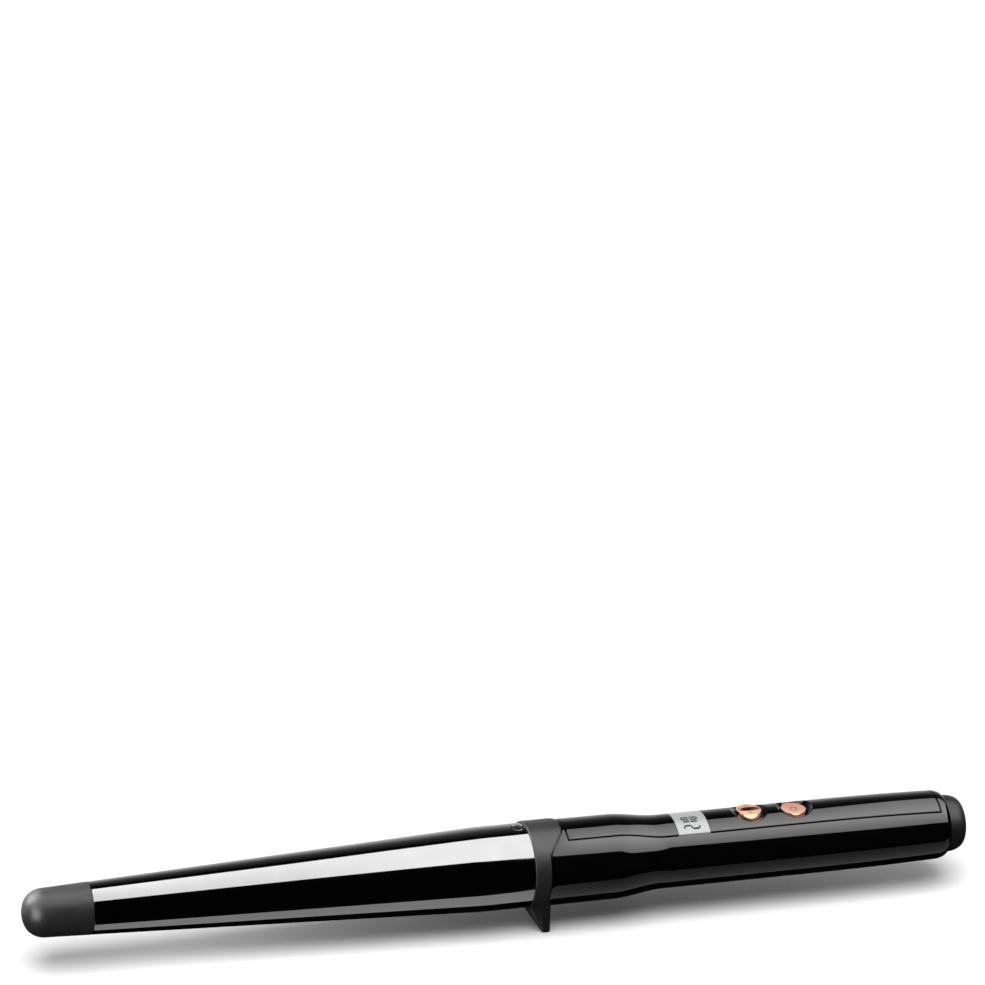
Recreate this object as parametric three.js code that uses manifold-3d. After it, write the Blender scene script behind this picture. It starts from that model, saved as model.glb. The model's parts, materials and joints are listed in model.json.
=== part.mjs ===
// A conical curling wand with a cool tip, a hand guard with a V foot, a slim waisted handle with a
// temperature display and two keys, and a swivel cord bush.
// Millimetres, +Z up. The wand lies along X, with its cool tip towards -X and its handle towards +X.
// The origin is the middle of the small flat under the foot, so the wand stands on the plane z = 0.
import * as THREE from "three";
import { ConvexGeometry } from "three/addons/geometries/ConvexGeometry.js";
import { mergeVertices } from "three/addons/utils/BufferGeometryUtils.js";
import Module from "manifold-3d";

const wasm = await Module();
wasm.setup();

// ---- Driving dimensions. Stations are distances along the wand's axis from the guard's front face. ----
const ROUND = 40; // facets round the large turned shells
const SMALL_ROUND = 16; // facets round screws, pins and wires' ends
const GAP = 0.05; // clearance between neighbours that touch or nearly touch
const SEAM = 0.35; // visible groove round the top cover

const TIP_END = -196.45;
const TIP_JOIN = -171;
const TIP_DOME = 8.8; // length of the tip's rounded nose
const TIP_NOSE_R = 9.32;
const TIP_REAR_R = 10.0;

const BARREL_R = 16.35;
const BARREL_TIP_R = 9.95;
const BARREL_WALL = 1.2;
const BARREL_STRAIGHT = -18; // the cone ends here and the barrel runs on as a cylinder
const BARREL_REAR = 5.0;
const BARREL_SCREW = -3.0;

const GUARD_R = 17;
const GUARD_SIDE_W = 6.3;
const GUARD_TOP_W = 13.2;
const GUARD_FLARE_FROM = 12; // degrees from the top where the saddle starts to narrow
const GUARD_FLARE_TO = 61;
const FOOT_DROP = 29.6; // from the wand's axis to the flat under the foot
const FOOT_FRONT = 9.2;
const FOOT_REAR = 11.8;
const FOOT_HALF_FLAT = 1.1;

const NOSE_R = 15.2; // the handle's spigot under the guard
const NOSE_FRONT = 5.6;
const HANDLE_FRONT_R = 16.5;
const HANDLE_NECK_R = 16.45;
const GRIP_R = 14.4;
const NECK_FROM = 35;
const NECK_TO = 55.5;
const TAPER_FROM = 120;
const TAPER_TO = 169.5;
const TAPER_DROP = 0.72;
const HANDLE_END = 174;
const HANDLE_END_R = 12.2;
const SHELL_T = 3.4;
const BULKHEAD = 30;
const BULKHEAD_T = 3;
const FLANGE_SCREW_R = 8.7;

const COVER_FRONT = 14.9;
const COVER_REAR = 169.9;
const COVER_HALF_W = 9.3;
const COVER_T = 2.2;
const LEDGE_HALF_W = 7.75;

const WINDOW_FRONT = 60;
const WINDOW_REAR = 73.1;
const WINDOW_T = 1.3;

const ROCKER_AT = 92.1;
const ROCKER_R = 5.05;
const ROCKER_FOOT = 9.25;
const ROCKER_TOP = 14.4;
const ROCKER_PIN_Z = 10.2;
const VALLEY_HALF_W = 3.9; // the rocker's face falls to a crease along the wand
const VALLEY_DEPTH = 0.8;
const POWER_AT = 110.9;
const POWER_R = 5.1;
const POWER_FOOT = 9.6;
const POWER_TOP = 13.0;
const BUTTON_GAP = 0.3;
const DISH_R = 7.4; // rim of the hollow round each key
const ROCKER_DISH = [0.5, 1.5]; // depth of the hollow at the key's edge, along the wand and across it
const POWER_DISH = [1.85, 1.85];
const WELL_R = 8.2; // the cover is thickened under each hollow
const WELL_FLOOR = 10.2;

const BOARD_TOP = 5.0;
const BOARD_T = 1.6;
const BOARD_FRONT = 54;
const BOARD_REAR = 131;
const BOARD_HALF_W = 8.4;
const BOARD_SCREWS = [57.2, 127];
const SWITCH_H = 3.1;
const PLUNGER_R = 1.6;
const PLUNGER_H = 2.4;

const CAP_END = 181.9;
const CAP_R = 11.3;
const CAP_ROUND = 6.2; // length of the cap's rounded rim
const CAP_FLAT_R = 8.2;
const CAP_SPIGOT_R = 10.1;
const CAP_SPIGOT_END = 166.4;
const CAP_STEP = 170.6; // the cap's bore narrows here and holds the swivel's collar
const COLLAR_R = 7.6;
const SWIVEL_R = 5.0;
const SWIVEL_TAIL_R = 2.4;
const SWIVEL_TAIL_END = 155;
const CORD_R = 3.2;
const CORD_BORE_END = 171.5;
const RING_W = 2.4;
const RINGS = [["live", 157.6], ["neutral", 163.4]];
const CARRIER_FLOOR = -9.3;
const CARRIER_TOP = -7.4;
const BRUSH_W = 1.8;
const LEAD_R = 0.8;

const HEATER_FRONT = -122;
const HEATER_REAR = -42;

// ---- Materials ----
function finish(name, color, roughness, metalness) {
  const material = new THREE.MeshStandardMaterial({ color, roughness, metalness });
  material.name = name;
  return material;
}

const finishes = {
  titanium: finish("coated_barrel", 0x2b2b2e, 0.12, 0.9),
  softBlack: finish("matte_black_plastic", 0x1c1c1d, 0.55, 0),
  glossBlack: finish("gloss_black_plastic", 0x070708, 0.08, 0),
  copper: finish("rose_gold", 0xd9956f, 0.22, 1),
  lens: finish("display_lens", 0xd5d8d8, 0.1, 0),
  lcd: finish("lcd_glass", 0xc4c7c6, 0.3, 0),
  steel: finish("zinc_steel", 0xa9abad, 0.35, 1),
  aluminium: finish("extruded_aluminium", 0xb8babb, 0.4, 1),
  brass: finish("brass", 0xc9a552, 0.3, 1),
  ceramic: finish("heater_ceramic", 0xe6e1d6, 0.7, 0),
  mica: finish("mica_sheet", 0xb59a6a, 0.5, 0),
  nylon: finish("heat_resistant_nylon", 0x3a3632, 0.6, 0),
  board: finish("circuit_board", 0x1f5a3a, 0.45, 0),
  chip: finish("component_black", 0x18191a, 0.5, 0),
  film: finish("capacitor_yellow", 0xd8b43a, 0.45, 0),
  glass: finish("fuse_glass", 0xcfd8d6, 0.1, 0),
  wireRed: finish("sleeve_red", 0x9c2a22, 0.6, 0),
  wireWhite: finish("sleeve_white", 0xdcd9cf, 0.6, 0),
  wireBlue: finish("sleeve_blue", 0x2a4f86, 0.6, 0),
};

// ---- Closed bodies, and joining and cutting them ----
function signedVolume(position, index) {
  const a = new THREE.Vector3();
  const b = new THREE.Vector3();
  const c = new THREE.Vector3();
  let volume = 0;
  for (let i = 0; i < index.length; i += 3) {
    a.fromBufferAttribute(position, index[i]);
    b.fromBufferAttribute(position, index[i + 1]);
    c.fromBufferAttribute(position, index[i + 2]);
    volume += a.dot(b.cross(c)) / 6;
  }
  return volume;
}

// The geometry with shared vertices merged, flattened triangles dropped and all faces pointing out.
function closed(geometry) {
  const bare = geometry.clone();
  bare.deleteAttribute("normal");
  bare.deleteAttribute("uv");
  const merged = mergeVertices(bare, 1e-4);
  const source = merged.index.array;
  const kept = [];
  for (let i = 0; i < source.length; i += 3) {
    const [a, b, c] = [source[i], source[i + 1], source[i + 2]];
    if (a !== b && b !== c && c !== a) kept.push(a, b, c);
  }
  if (signedVolume(merged.attributes.position, kept) < 0) kept.reverse();
  merged.setIndex(kept);
  return merged;
}

function solid(geometry) {
  const body = closed(geometry);
  return new wasm.Manifold(
    new wasm.Mesh({
      numProp: 3,
      vertProperties: new Float32Array(body.attributes.position.array),
      triVerts: new Uint32Array(body.index.array),
    }),
  );
}

function toGeometry(body) {
  const mesh = body.getMesh();
  const geometry = new THREE.BufferGeometry();
  geometry.setAttribute("position", new THREE.BufferAttribute(new Float32Array(mesh.vertProperties), 3));
  geometry.setIndex(new THREE.BufferAttribute(new Uint32Array(mesh.triVerts), 1));
  return geometry;
}

function cut(body, ...tools) {
  return tools.reduce((left, tool) => left.subtract(solid(tool)), body);
}

function join(body, ...others) {
  return others.reduce((left, other) => left.add(solid(other)), body);
}

// ---- Shapes ----
// A body turned about X from [station, radius] points.
// A profile that doesn't end on the axis closes on itself.
function turned(profile, facets = ROUND) {
  const points = profile.map(([station, radius]) => new THREE.Vector2(radius, station));
  if (profile[0][1] > 0 || profile.at(-1)[1] > 0) points.push(points[0].clone());
  const lathe = new THREE.LatheGeometry(points, facets);
  lathe.rotateZ(-Math.PI / 2);
  return lathe;
}

function tube(from, to, inner, outer, facets = ROUND) {
  return turned([[from, inner], [from, outer], [to, outer], [to, inner]], facets);
}

function rod(from, to, radius, facets = SMALL_ROUND) {
  return turned([[from, 0], [from, radius], [to, radius], [to, 0]], facets);
}

// Turns an outline drawn in XY and extruded along Z into one drawn in YZ and extruded along X.
function acrossX(geometry) {
  const turn = new THREE.Matrix4().makeBasis(
    new THREE.Vector3(0, 1, 0),
    new THREE.Vector3(0, 0, 1),
    new THREE.Vector3(1, 0, 0),
  );
  return geometry.applyMatrix4(turn);
}

function upright(x, y, low, high, radius, facets = SMALL_ROUND) {
  const post = new THREE.CylinderGeometry(radius, radius, high - low, facets);
  post.rotateX(Math.PI / 2);
  post.translate(x, y, (low + high) / 2);
  return post;
}

function block(x, y, z) {
  const [size, middle] = [x, y, z].reduce(
    ([sizes, middles], [low, high]) => [[...sizes, high - low], [...middles, (low + high) / 2]],
    [[], []],
  );
  const box = new THREE.BoxGeometry(...size);
  box.translate(...middle);
  return box;
}

// A wire with flat ends, through points given in the wand's frame.
function wire(points, radius, steps = 14) {
  const path = new THREE.CatmullRomCurve3(points.map((point) => new THREE.Vector3(...point)));
  const section = new THREE.Shape();
  section.absarc(0, 0, radius, 0, Math.PI * 2);
  return new THREE.ExtrudeGeometry(section, {
    steps,
    extrudePath: path,
    curveSegments: 4,
    bevelEnabled: false,
  });
}

function smoothstep(value, from, to) {
  const t = THREE.MathUtils.clamp((value - from) / (to - from), 0, 1);
  return t * t * (3 - 2 * t);
}

function span(from, to, count) {
  return Array.from({ length: count + 1 }, (_, i) => from + ((to - from) * i) / count);
}

function part(name, geometry, material) {
  const body = geometry instanceof wasm.Manifold ? toGeometry(geometry) : closed(geometry);
  body.computeVertexNormals();
  const mesh = new THREE.Mesh(body, material);
  mesh.name = name;
  return mesh;
}

// A pan head screw along Z, its head's underside at z = 0 and its shank going down, with a cross recess.
function panScrew(headR, headH, shankR, shankL) {
  const profile = [
    [-shankL, 0],
    [-shankL, shankR],
    [0, shankR],
    [0, headR],
    [headH * 0.55, headR],
    [headH, headR * 0.72],
    [headH, 0],
  ];
  const blank = turned(profile, SMALL_ROUND);
  blank.rotateY(-Math.PI / 2);
  const arm = headR * 0.55;
  const slot = headR * 0.11;
  const floor = headH * 0.45;
  return cut(
    solid(blank),
    block([-arm, arm], [-slot, slot], [floor, headH + 1]),
    block([-slot, slot], [-arm, arm], [floor, headH + 1]),
  );
}

// ---- Outlines of the turned shells ----
function barrelRadius(station) {
  const along = (station - TIP_JOIN) / (BARREL_STRAIGHT - TIP_JOIN);
  return station >= BARREL_STRAIGHT ? BARREL_R : THREE.MathUtils.lerp(BARREL_TIP_R, BARREL_R, along);
}

function handleRadius(station) {
  const neck = (HANDLE_NECK_R - GRIP_R) * (1 - smoothstep(station, NECK_FROM, NECK_TO));
  const taper = TAPER_DROP * Math.max(0, (station - TAPER_FROM) / (TAPER_TO - TAPER_FROM)) ** 2;
  const flare = (HANDLE_FRONT_R - HANDLE_NECK_R) * (1 - smoothstep(station, COVER_FRONT, NECK_FROM));
  if (station <= TAPER_TO) return GRIP_R + neck + flare - taper;
  const round = (station - TAPER_TO) / (HANDLE_END - TAPER_TO);
  const last = GRIP_R - TAPER_DROP;
  return HANDLE_END_R + (last - HANDLE_END_R) * Math.sqrt(Math.max(0, 1 - round * round));
}

const handleStations = [
  NECK_FROM,
  ...span(NECK_FROM, NECK_TO, 8).slice(1),
  TAPER_FROM,
  ...span(TAPER_FROM, TAPER_TO, 4).slice(1),
];

function handleOutline(from, to, offset = 0) {
  const inside = handleStations.filter((station) => station > from && station < to);
  return [from, ...inside, to].map((station) => [station, handleRadius(station) + offset]);
}

// A shell under the handle's outer surface, between two depths.
function handleLayer(from, to, shallow, deep) {
  return turned([...handleOutline(from, to, -shallow), ...handleOutline(from, to, -deep).reverse()]);
}

// ---- Barrel ----
function makeTipCap() {
  const nose = span(0, Math.PI / 2, 8).map((angle) => [
    TIP_END + TIP_DOME - TIP_DOME * Math.sin(angle) ** 0.89,
    angle >= Math.PI / 2 ? 0 : TIP_NOSE_R * Math.cos(angle) ** 0.89,
  ]);
  const spigotR = BARREL_TIP_R - BARREL_WALL - GAP;
  const spigotRear = TIP_JOIN + 9;
  return turned([
    ...nose.reverse(),
    [TIP_JOIN, TIP_REAR_R],
    [TIP_JOIN, spigotR],
    [spigotRear, spigotR],
    [spigotRear, spigotR - 2],
    [TIP_END + 12, spigotR - 2.6],
    [TIP_END + 9, 0],
  ]);
}

function makeBarrel() {
  const front = TIP_JOIN + 2 * GAP;
  const lip = 0.45;
  const shell = solid(
    turned([
      [front, barrelRadius(front) - BARREL_WALL],
      [front, barrelRadius(front) - lip],
      [front + lip, barrelRadius(front + lip)],
      [BARREL_STRAIGHT, BARREL_R],
      [BARREL_REAR, BARREL_R],
      [BARREL_REAR, BARREL_R - BARREL_WALL],
      [BARREL_STRAIGHT, BARREL_R - BARREL_WALL],
    ]),
  );
  return cut(shell, upright(BARREL_SCREW, 0, -20, 20, 2.5));
}

function makeBarrelScrew() {
  return panScrew(2.3, 1.15, 1.1, 3.6);
}

function makeBarrelSupport() {
  const outer = BARREL_R - BARREL_WALL - 0.15;
  const socket = HANDLE_FRONT_R - SHELL_T - 0.15;
  const flangeFront = BULKHEAD - 3;
  const flangeRear = BULKHEAD - 0.2;
  const body = solid(
    turned([
      [-15, 12.2],
      [-15, outer],
      [BARREL_REAR + 0.3, outer],
      [BARREL_REAR + 0.3, socket],
      [flangeRear, socket],
      [flangeRear, 6.5],
      [flangeFront, 6.5],
      [flangeFront, 10.9],
      [6, 10.9],
      [6, 12.2],
    ]),
  );
  const flangeHoles = [-1, 1].map((side) =>
    rod(flangeFront - 1, flangeRear + 1, 1.4).translate(0, side * FLANGE_SCREW_R, 0),
  );
  return cut(body, upright(BARREL_SCREW, 0, -20, 20, 1.2), ...flangeHoles);
}

const barrel = new THREE.Group();
barrel.add(part("tip_cap", makeTipCap(), finishes.softBlack));
barrel.add(part("barrel", makeBarrel(), finishes.titanium));
barrel.add(part("barrel_support", makeBarrelSupport(), finishes.nylon));
for (const [name, turn] of [["barrel_screw_top", 0], ["barrel_screw_bottom", Math.PI]]) {
  const screw = part(name, makeBarrelScrew(), finishes.steel);
  const seat = BARREL_R - BARREL_WALL;
  screw.position.set(BARREL_SCREW, 0, turn === 0 ? seat : -seat);
  screw.rotation.x = turn;
  barrel.add(screw);
}
for (const [name, side] of [["support_screw_left", 1], ["support_screw_right", -1]]) {
  const screw = part(name, panScrew(2.1, 1.6, 1.2, 5.4), finishes.steel);
  screw.position.set(BULKHEAD - 3 - GAP, side * FLANGE_SCREW_R, 0);
  screw.rotation.y = -Math.PI / 2;
  barrel.add(screw);
}

// ---- Heater: ceramic chips between electrodes and mica, held by two aluminium shoes in the barrel ----
const CHIP_HALF_T = 1.0;
const ELECTRODE_T = 0.4;
const MICA_T = 0.4;
const SHOE_WEB = CHIP_HALF_T + ELECTRODE_T + MICA_T + 4 * GAP;

function makeShoe(side) {
  const play = BARREL_WALL + 0.15;
  const profile = [
    [HEATER_FRONT, 0],
    [HEATER_FRONT, barrelRadius(HEATER_FRONT) - play],
    [HEATER_REAR, barrelRadius(HEATER_REAR) - play],
    [HEATER_REAR, 0],
  ];
  const ahead = HEATER_FRONT - 1;
  const behind = HEATER_REAR + 1;
  const half = side > 0 ? [-20, SHOE_WEB] : [-SHOE_WEB, 20];
  const channel = rod(ahead, behind, 2.9).translate(0, 0, side * 6.2);
  return cut(solid(turned(profile, 32)), block([ahead, behind], [-20, 20], half), channel);
}

const heater = new THREE.Group();
heater.add(part("heater_shoe_upper", makeShoe(1), finishes.aluminium));
heater.add(part("heater_shoe_lower", makeShoe(-1), finishes.aluminium));
const stackHalfW = 6.5;
for (const [name, side] of [["upper", 1], ["lower", -1]]) {
  const electrode = new THREE.BoxGeometry(66, 2 * stackHalfW - 1, ELECTRODE_T);
  const plate = part(`electrode_${name}`, electrode, finishes.brass);
  plate.position.set((HEATER_FRONT + HEATER_REAR) / 2, 0, side * (CHIP_HALF_T + GAP + ELECTRODE_T / 2));
  heater.add(plate);
  const leaf = new THREE.BoxGeometry(72, 2 * stackHalfW, MICA_T);
  const sheet = part(`mica_sheet_${name}`, leaf, finishes.mica);
  sheet.position.set(
    (HEATER_FRONT + HEATER_REAR) / 2,
    0,
    side * (CHIP_HALF_T + 2 * GAP + ELECTRODE_T + MICA_T / 2),
  );
  heater.add(sheet);
}
const chipPitch = 21;
for (const [i, name] of ["front", "middle", "rear"].entries()) {
  const chip = part(`ptc_chip_${name}`, new THREE.BoxGeometry(20, 11, 2 * CHIP_HALF_T), finishes.ceramic);
  chip.position.set((HEATER_FRONT + HEATER_REAR) / 2 + (i - 1) * chipPitch, 0, 0);
  heater.add(chip);
}

function makeThermistor() {
  return turned([[0, 0], [0.5, 1.1], [4.2, 1.1], [5, 0]], 12);
}

const thermistor = part("thermistor", makeThermistor(), finishes.glass);
thermistor.position.set(HEATER_REAR - 6, 0, 6.2);
heater.add(thermistor);
const fuseProfile = [[0, 0], [0, 1.9], [8.4, 1.9], [10, 0]];
const thermalFuse = part("thermal_fuse", turned(fuseProfile, 12), finishes.ceramic);
thermalFuse.position.set(HEATER_REAR + 6, 6.5, 0);
heater.add(thermalFuse);

// ---- Hand guard: a ring with a long saddle on top and a V foot below ----
// How far back the guard's rear edge lies, at an angle in degrees from the top.
function guardWidth(angle) {
  return GUARD_TOP_W - (GUARD_TOP_W - GUARD_SIDE_W) * smoothstep(angle, GUARD_FLARE_FROM, GUARD_FLARE_TO);
}

// The ring's profile with its rear edge moved back to the saddle's outline.
function saddled(profile, movesPast) {
  const ring = turned(profile);
  const position = ring.attributes.position;
  for (let i = 0; i < position.count; i += 1) {
    const [x, y, z] = [position.getX(i), position.getY(i), position.getZ(i)];
    const angle = THREE.MathUtils.radToDeg(Math.acos(THREE.MathUtils.clamp(z / Math.hypot(y, z), -1, 1)));
    if (x > movesPast) position.setX(i, x + guardWidth(angle) - GUARD_SIDE_W);
  }
  return ring;
}

function makeFoot() {
  const points = [];
  const radius = GUARD_R - 0.1;
  for (const degrees of span(-90, 90, 12)) {
    const angle = THREE.MathUtils.degToRad(degrees);
    const [y, z] = [radius * Math.sin(angle), -radius * Math.cos(angle)];
    points.push(new THREE.Vector3(GUARD_SIDE_W - 0.3, y, z));
    points.push(new THREE.Vector3(GUARD_SIDE_W - 2.6, y, z));
    if (Math.abs(degrees) <= 30) points.push(new THREE.Vector3(0.4, y, z));
  }
  for (const station of [FOOT_FRONT, FOOT_REAR]) {
    for (const side of [-1, 1]) {
      points.push(new THREE.Vector3(station, side * FOOT_HALF_FLAT, -FOOT_DROP));
      points.push(new THREE.Vector3(station, side * FOOT_HALF_FLAT * 1.6, -FOOT_DROP + 0.7));
    }
  }
  return cut(solid(new ConvexGeometry(points)), rod(-1, 20, HANDLE_FRONT_R + 0.1, ROUND));
}

function makeGuard() {
  const bore = BARREL_R + GAP;
  const rearBore = NOSE_R + 0.1;
  const step = BARREL_REAR + 0.3;
  const edge = 0.45;
  const ring = saddled(
    [
      [0, bore],
      [0, GUARD_R - edge],
      [edge, GUARD_R],
      [GUARD_SIDE_W - edge, GUARD_R],
      [GUARD_SIDE_W, GUARD_R - edge],
      [GUARD_SIDE_W, rearBore],
      [step, rearBore],
      [step, bore],
    ],
    step + 0.01,
  );
  return solid(ring).add(makeFoot());
}

const guard = part("guard", makeGuard(), finishes.softBlack);

// ---- Handle shell, with a channel on top for the cover ----
function makeHandleBody() {
  const front = handleOutline(NOSE_FRONT, HANDLE_END);
  const rearLip = 10.35;
  const outer = turned([
    ...front,
    [HANDLE_END, rearLip],
    [163, rearLip],
    [140, GRIP_R - SHELL_T],
    [NECK_TO - 1, GRIP_R - SHELL_T],
    [NECK_FROM + 1, HANDLE_NECK_R - SHELL_T],
    [BULKHEAD + BULKHEAD_T, HANDLE_NECK_R - SHELL_T],
    [BULKHEAD + BULKHEAD_T, 6],
    [BULKHEAD, 6],
    [BULKHEAD, HANDLE_NECK_R - SHELL_T + 0.05],
    [NOSE_FRONT, HANDLE_FRONT_R - SHELL_T],
  ]);
  const play = 0.15;
  const guardSeat = saddled(
    [
      [NOSE_FRONT - 2, NOSE_R],
      [NOSE_FRONT - 2, GUARD_R + 2],
      [GUARD_SIDE_W + play, GUARD_R + 2],
      [GUARD_SIDE_W + play, NOSE_R],
    ],
    GUARD_SIDE_W - 0.1,
  );
  const opening = block([COVER_FRONT + 2.4, COVER_REAR - 2.4], [-LEDGE_HALF_W, LEDGE_HALF_W], [7, 20]);
  const seat = solid(handleLayer(COVER_FRONT - SEAM, COVER_REAR + SEAM, -1, COVER_T + 0.15)).intersect(
    solid(block([0, 200], [-COVER_HALF_W - SEAM, COVER_HALF_W + SEAM], [0, 20])),
  );
  const bulkheadHoles = [-1, 1].map((side) =>
    rod(BULKHEAD - 1, BULKHEAD + BULKHEAD_T + 1, 1.3).translate(0, side * FLANGE_SCREW_R, 0),
  );
  const shell = cut(solid(outer), guardSeat, opening, ...bulkheadHoles).subtract(seat);
  const floor = -(GRIP_R - SHELL_T) - 0.5;
  const posts = BOARD_SCREWS.map((station) =>
    upright(station, 0, floor, BOARD_TOP - BOARD_T - GAP, 2.6, 12),
  );
  const pilots = BOARD_SCREWS.map((station) => upright(station, 0, -4, 10, 1.15, 12));
  return cut(join(shell, ...posts), ...pilots);
}

// ---- Top cover, with a window pocket, two finger dishes and the rocker's lugs ----
// The hollow round a key: deepest at the key's edge, it rises to meet the cover at its rim.
function dish(station, keyR, [depthAlong, depthAcross]) {
  const inner = keyR + BUTTON_GAP;
  const spokes = 40;
  const rings = 6;
  const positions = [];
  const faces = [];
  for (let ring = 0; ring <= rings; ring += 1) {
    const share = ring / rings;
    const radius = inner + (DISH_R - inner) * share;
    for (let spoke = 0; spoke < spokes; spoke += 1) {
      const angle = (2 * Math.PI * spoke) / spokes;
      const y = radius * Math.sin(angle);
      const depth = depthAlong + (depthAcross - depthAlong) * Math.sin(angle) ** 2;
      const z = Math.sqrt(GRIP_R ** 2 - y ** 2) - depth * (1 - share ** 2);
      positions.push(station + radius * Math.cos(angle), y, z);
    }
  }
  const rim = rings * spokes * 3;
  for (let spoke = 0; spoke < spokes; spoke += 1) {
    const [x, y] = positions.slice(rim + spoke * 3, rim + spoke * 3 + 2);
    positions.push(x, y, GRIP_R + 3);
  }
  positions.push(station, 0, WELL_FLOOR + 0.5, station, 0, GRIP_R + 3);
  const low = positions.length / 3 - 2;
  const high = low + 1;
  for (let spoke = 0; spoke < spokes; spoke += 1) {
    const next = (spoke + 1) % spokes;
    for (let ring = 0; ring <= rings; ring += 1) {
      const [a, b] = [ring * spokes + spoke, ring * spokes + next];
      faces.push(a, a + spokes, b, b, a + spokes, b + spokes);
    }
    const top = (rings + 1) * spokes;
    faces.push(low, spoke, next, high, top + next, top + spoke);
  }
  const tool = new THREE.BufferGeometry();
  tool.setAttribute("position", new THREE.Float32BufferAttribute(positions, 3));
  tool.setIndex(faces);
  return tool;
}

function makeTopCover() {
  const strip = solid(handleLayer(COVER_FRONT, COVER_REAR, 0, COVER_T)).intersect(
    solid(block([0, 200], [-COVER_HALF_W, COVER_HALF_W], [0, 20])),
  );
  const play = 0.05;
  const pocket = tube(WINDOW_FRONT - play, WINDOW_REAR + play, GRIP_R - WINDOW_T - play, GRIP_R + 2);
  const aperture = block([WINDOW_FRONT + 0.9, WINDOW_REAR - 0.9], [-LEDGE_HALF_W, LEDGE_HALF_W], [0, 20]);
  const lugs = [-1, 1].map((side) => {
    const middle = ROCKER_AT + side * (ROCKER_R + 1.45);
    return block([middle - 0.75, middle + 0.75], [-1.6, 1.6], [ROCKER_PIN_Z - 1.5, WELL_FLOOR + 0.5]);
  });
  const wells = [ROCKER_AT, POWER_AT].map((station) =>
    upright(station, 0, WELL_FLOOR, GRIP_R - COVER_T + 0.4, WELL_R, 32),
  );
  const pinBore = rod(ROCKER_AT - 12, ROCKER_AT + 12, 0.66).translate(0, 0, ROCKER_PIN_Z);
  const holes = [
    upright(ROCKER_AT, 0, 8, 30, ROCKER_R + BUTTON_GAP, 40),
    upright(POWER_AT, 0, 8, 30, POWER_R + BUTTON_GAP, 40),
  ];
  const dishes = [dish(ROCKER_AT, ROCKER_R, ROCKER_DISH), dish(POWER_AT, POWER_R, POWER_DISH)];
  const open = cut(join(strip, ...wells), pocket, aperture, ...dishes, ...holes);
  return cut(join(open, ...lugs), pinBore);
}

function makeWindow() {
  return solid(tube(WINDOW_FRONT, WINDOW_REAR, GRIP_R - WINDOW_T, GRIP_R)).intersect(
    solid(block([0, 200], [-COVER_HALF_W, COVER_HALF_W], [0, 20])),
  );
}

const handle = new THREE.Group();
handle.add(part("handle_body", makeHandleBody(), finishes.glossBlack));
handle.add(part("top_cover", makeTopCover(), finishes.glossBlack));
handle.add(part("display_window", makeWindow(), finishes.lens));

// ---- Buttons ----
// A round key about its own foot at z = 0, with a bevelled rim.
function key(radius, height, bevel) {
  const blank = turned(
    [[0, 0], [0, radius], [height - bevel, radius], [height, radius - bevel], [height, 0]],
    36,
  );
  blank.rotateY(-Math.PI / 2);
  return blank;
}

function makeRocker() {
  const height = ROCKER_TOP - ROCKER_FOOT;
  const pin = rod(-10, 10, 0.67).translate(0, 0, ROCKER_PIN_Z - ROCKER_FOOT);
  const outline = new THREE.Shape([
    new THREE.Vector2(-VALLEY_HALF_W, 0),
    new THREE.Vector2(0, -VALLEY_DEPTH),
    new THREE.Vector2(VALLEY_HALF_W, 0),
    new THREE.Vector2(0, VALLEY_DEPTH),
  ]);
  const valley = acrossX(new THREE.ExtrudeGeometry(outline, { depth: 4 * ROCKER_R, bevelEnabled: false }));
  valley.translate(-2 * ROCKER_R, 0, height);
  return cut(solid(key(ROCKER_R, height, 0.4)), pin, valley);
}

const rocker = part("temperature_rocker", makeRocker(), finishes.copper);
rocker.position.set(ROCKER_AT, 0, ROCKER_FOOT);
const rockerPin = part("rocker_pin", rod(-7.1, 7.1, 0.6), finishes.steel);
rockerPin.position.set(ROCKER_AT, 0, ROCKER_PIN_Z);

const powerButton = part("power_button", key(POWER_R, POWER_TOP - POWER_FOOT, 0.3), finishes.copper);
powerButton.position.set(POWER_AT, 0, POWER_FOOT);
const plunger = part("power_plunger", upright(0, 0, 0, PLUNGER_H, PLUNGER_R), finishes.chip);
plunger.position.set(POWER_AT, 0, POWER_FOOT - GAP - PLUNGER_H);

function makeSwitch(width, height, wellR, wellDepth) {
  const half = width / 2;
  return cut(
    solid(block([-half, half], [-half, half], [0, height])),
    upright(0, 0, height - wellDepth, height + 1, wellR),
  );
}

const powerSwitch = part("power_switch", makeSwitch(6, SWITCH_H, PLUNGER_R + 0.1, 2.0), finishes.chip);
powerSwitch.position.set(POWER_AT, 0, BOARD_TOP + GAP);
const keys = new THREE.Group();
keys.add(rocker, rockerPin, powerButton, plunger, powerSwitch);
for (const [name, side] of [["switch_up", -1], ["switch_down", 1]]) {
  const body = solid(block([-2.2, 2.2], [-2.2, 2.2], [0, 2.8]));
  const stem = upright(0, 0, 2.6, 3.8, 1.1, 12);
  const tact = part(name, join(body, stem), finishes.chip);
  tact.position.set(ROCKER_AT, side * 3.4, BOARD_TOP + GAP);
  keys.add(tact);
}

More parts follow.
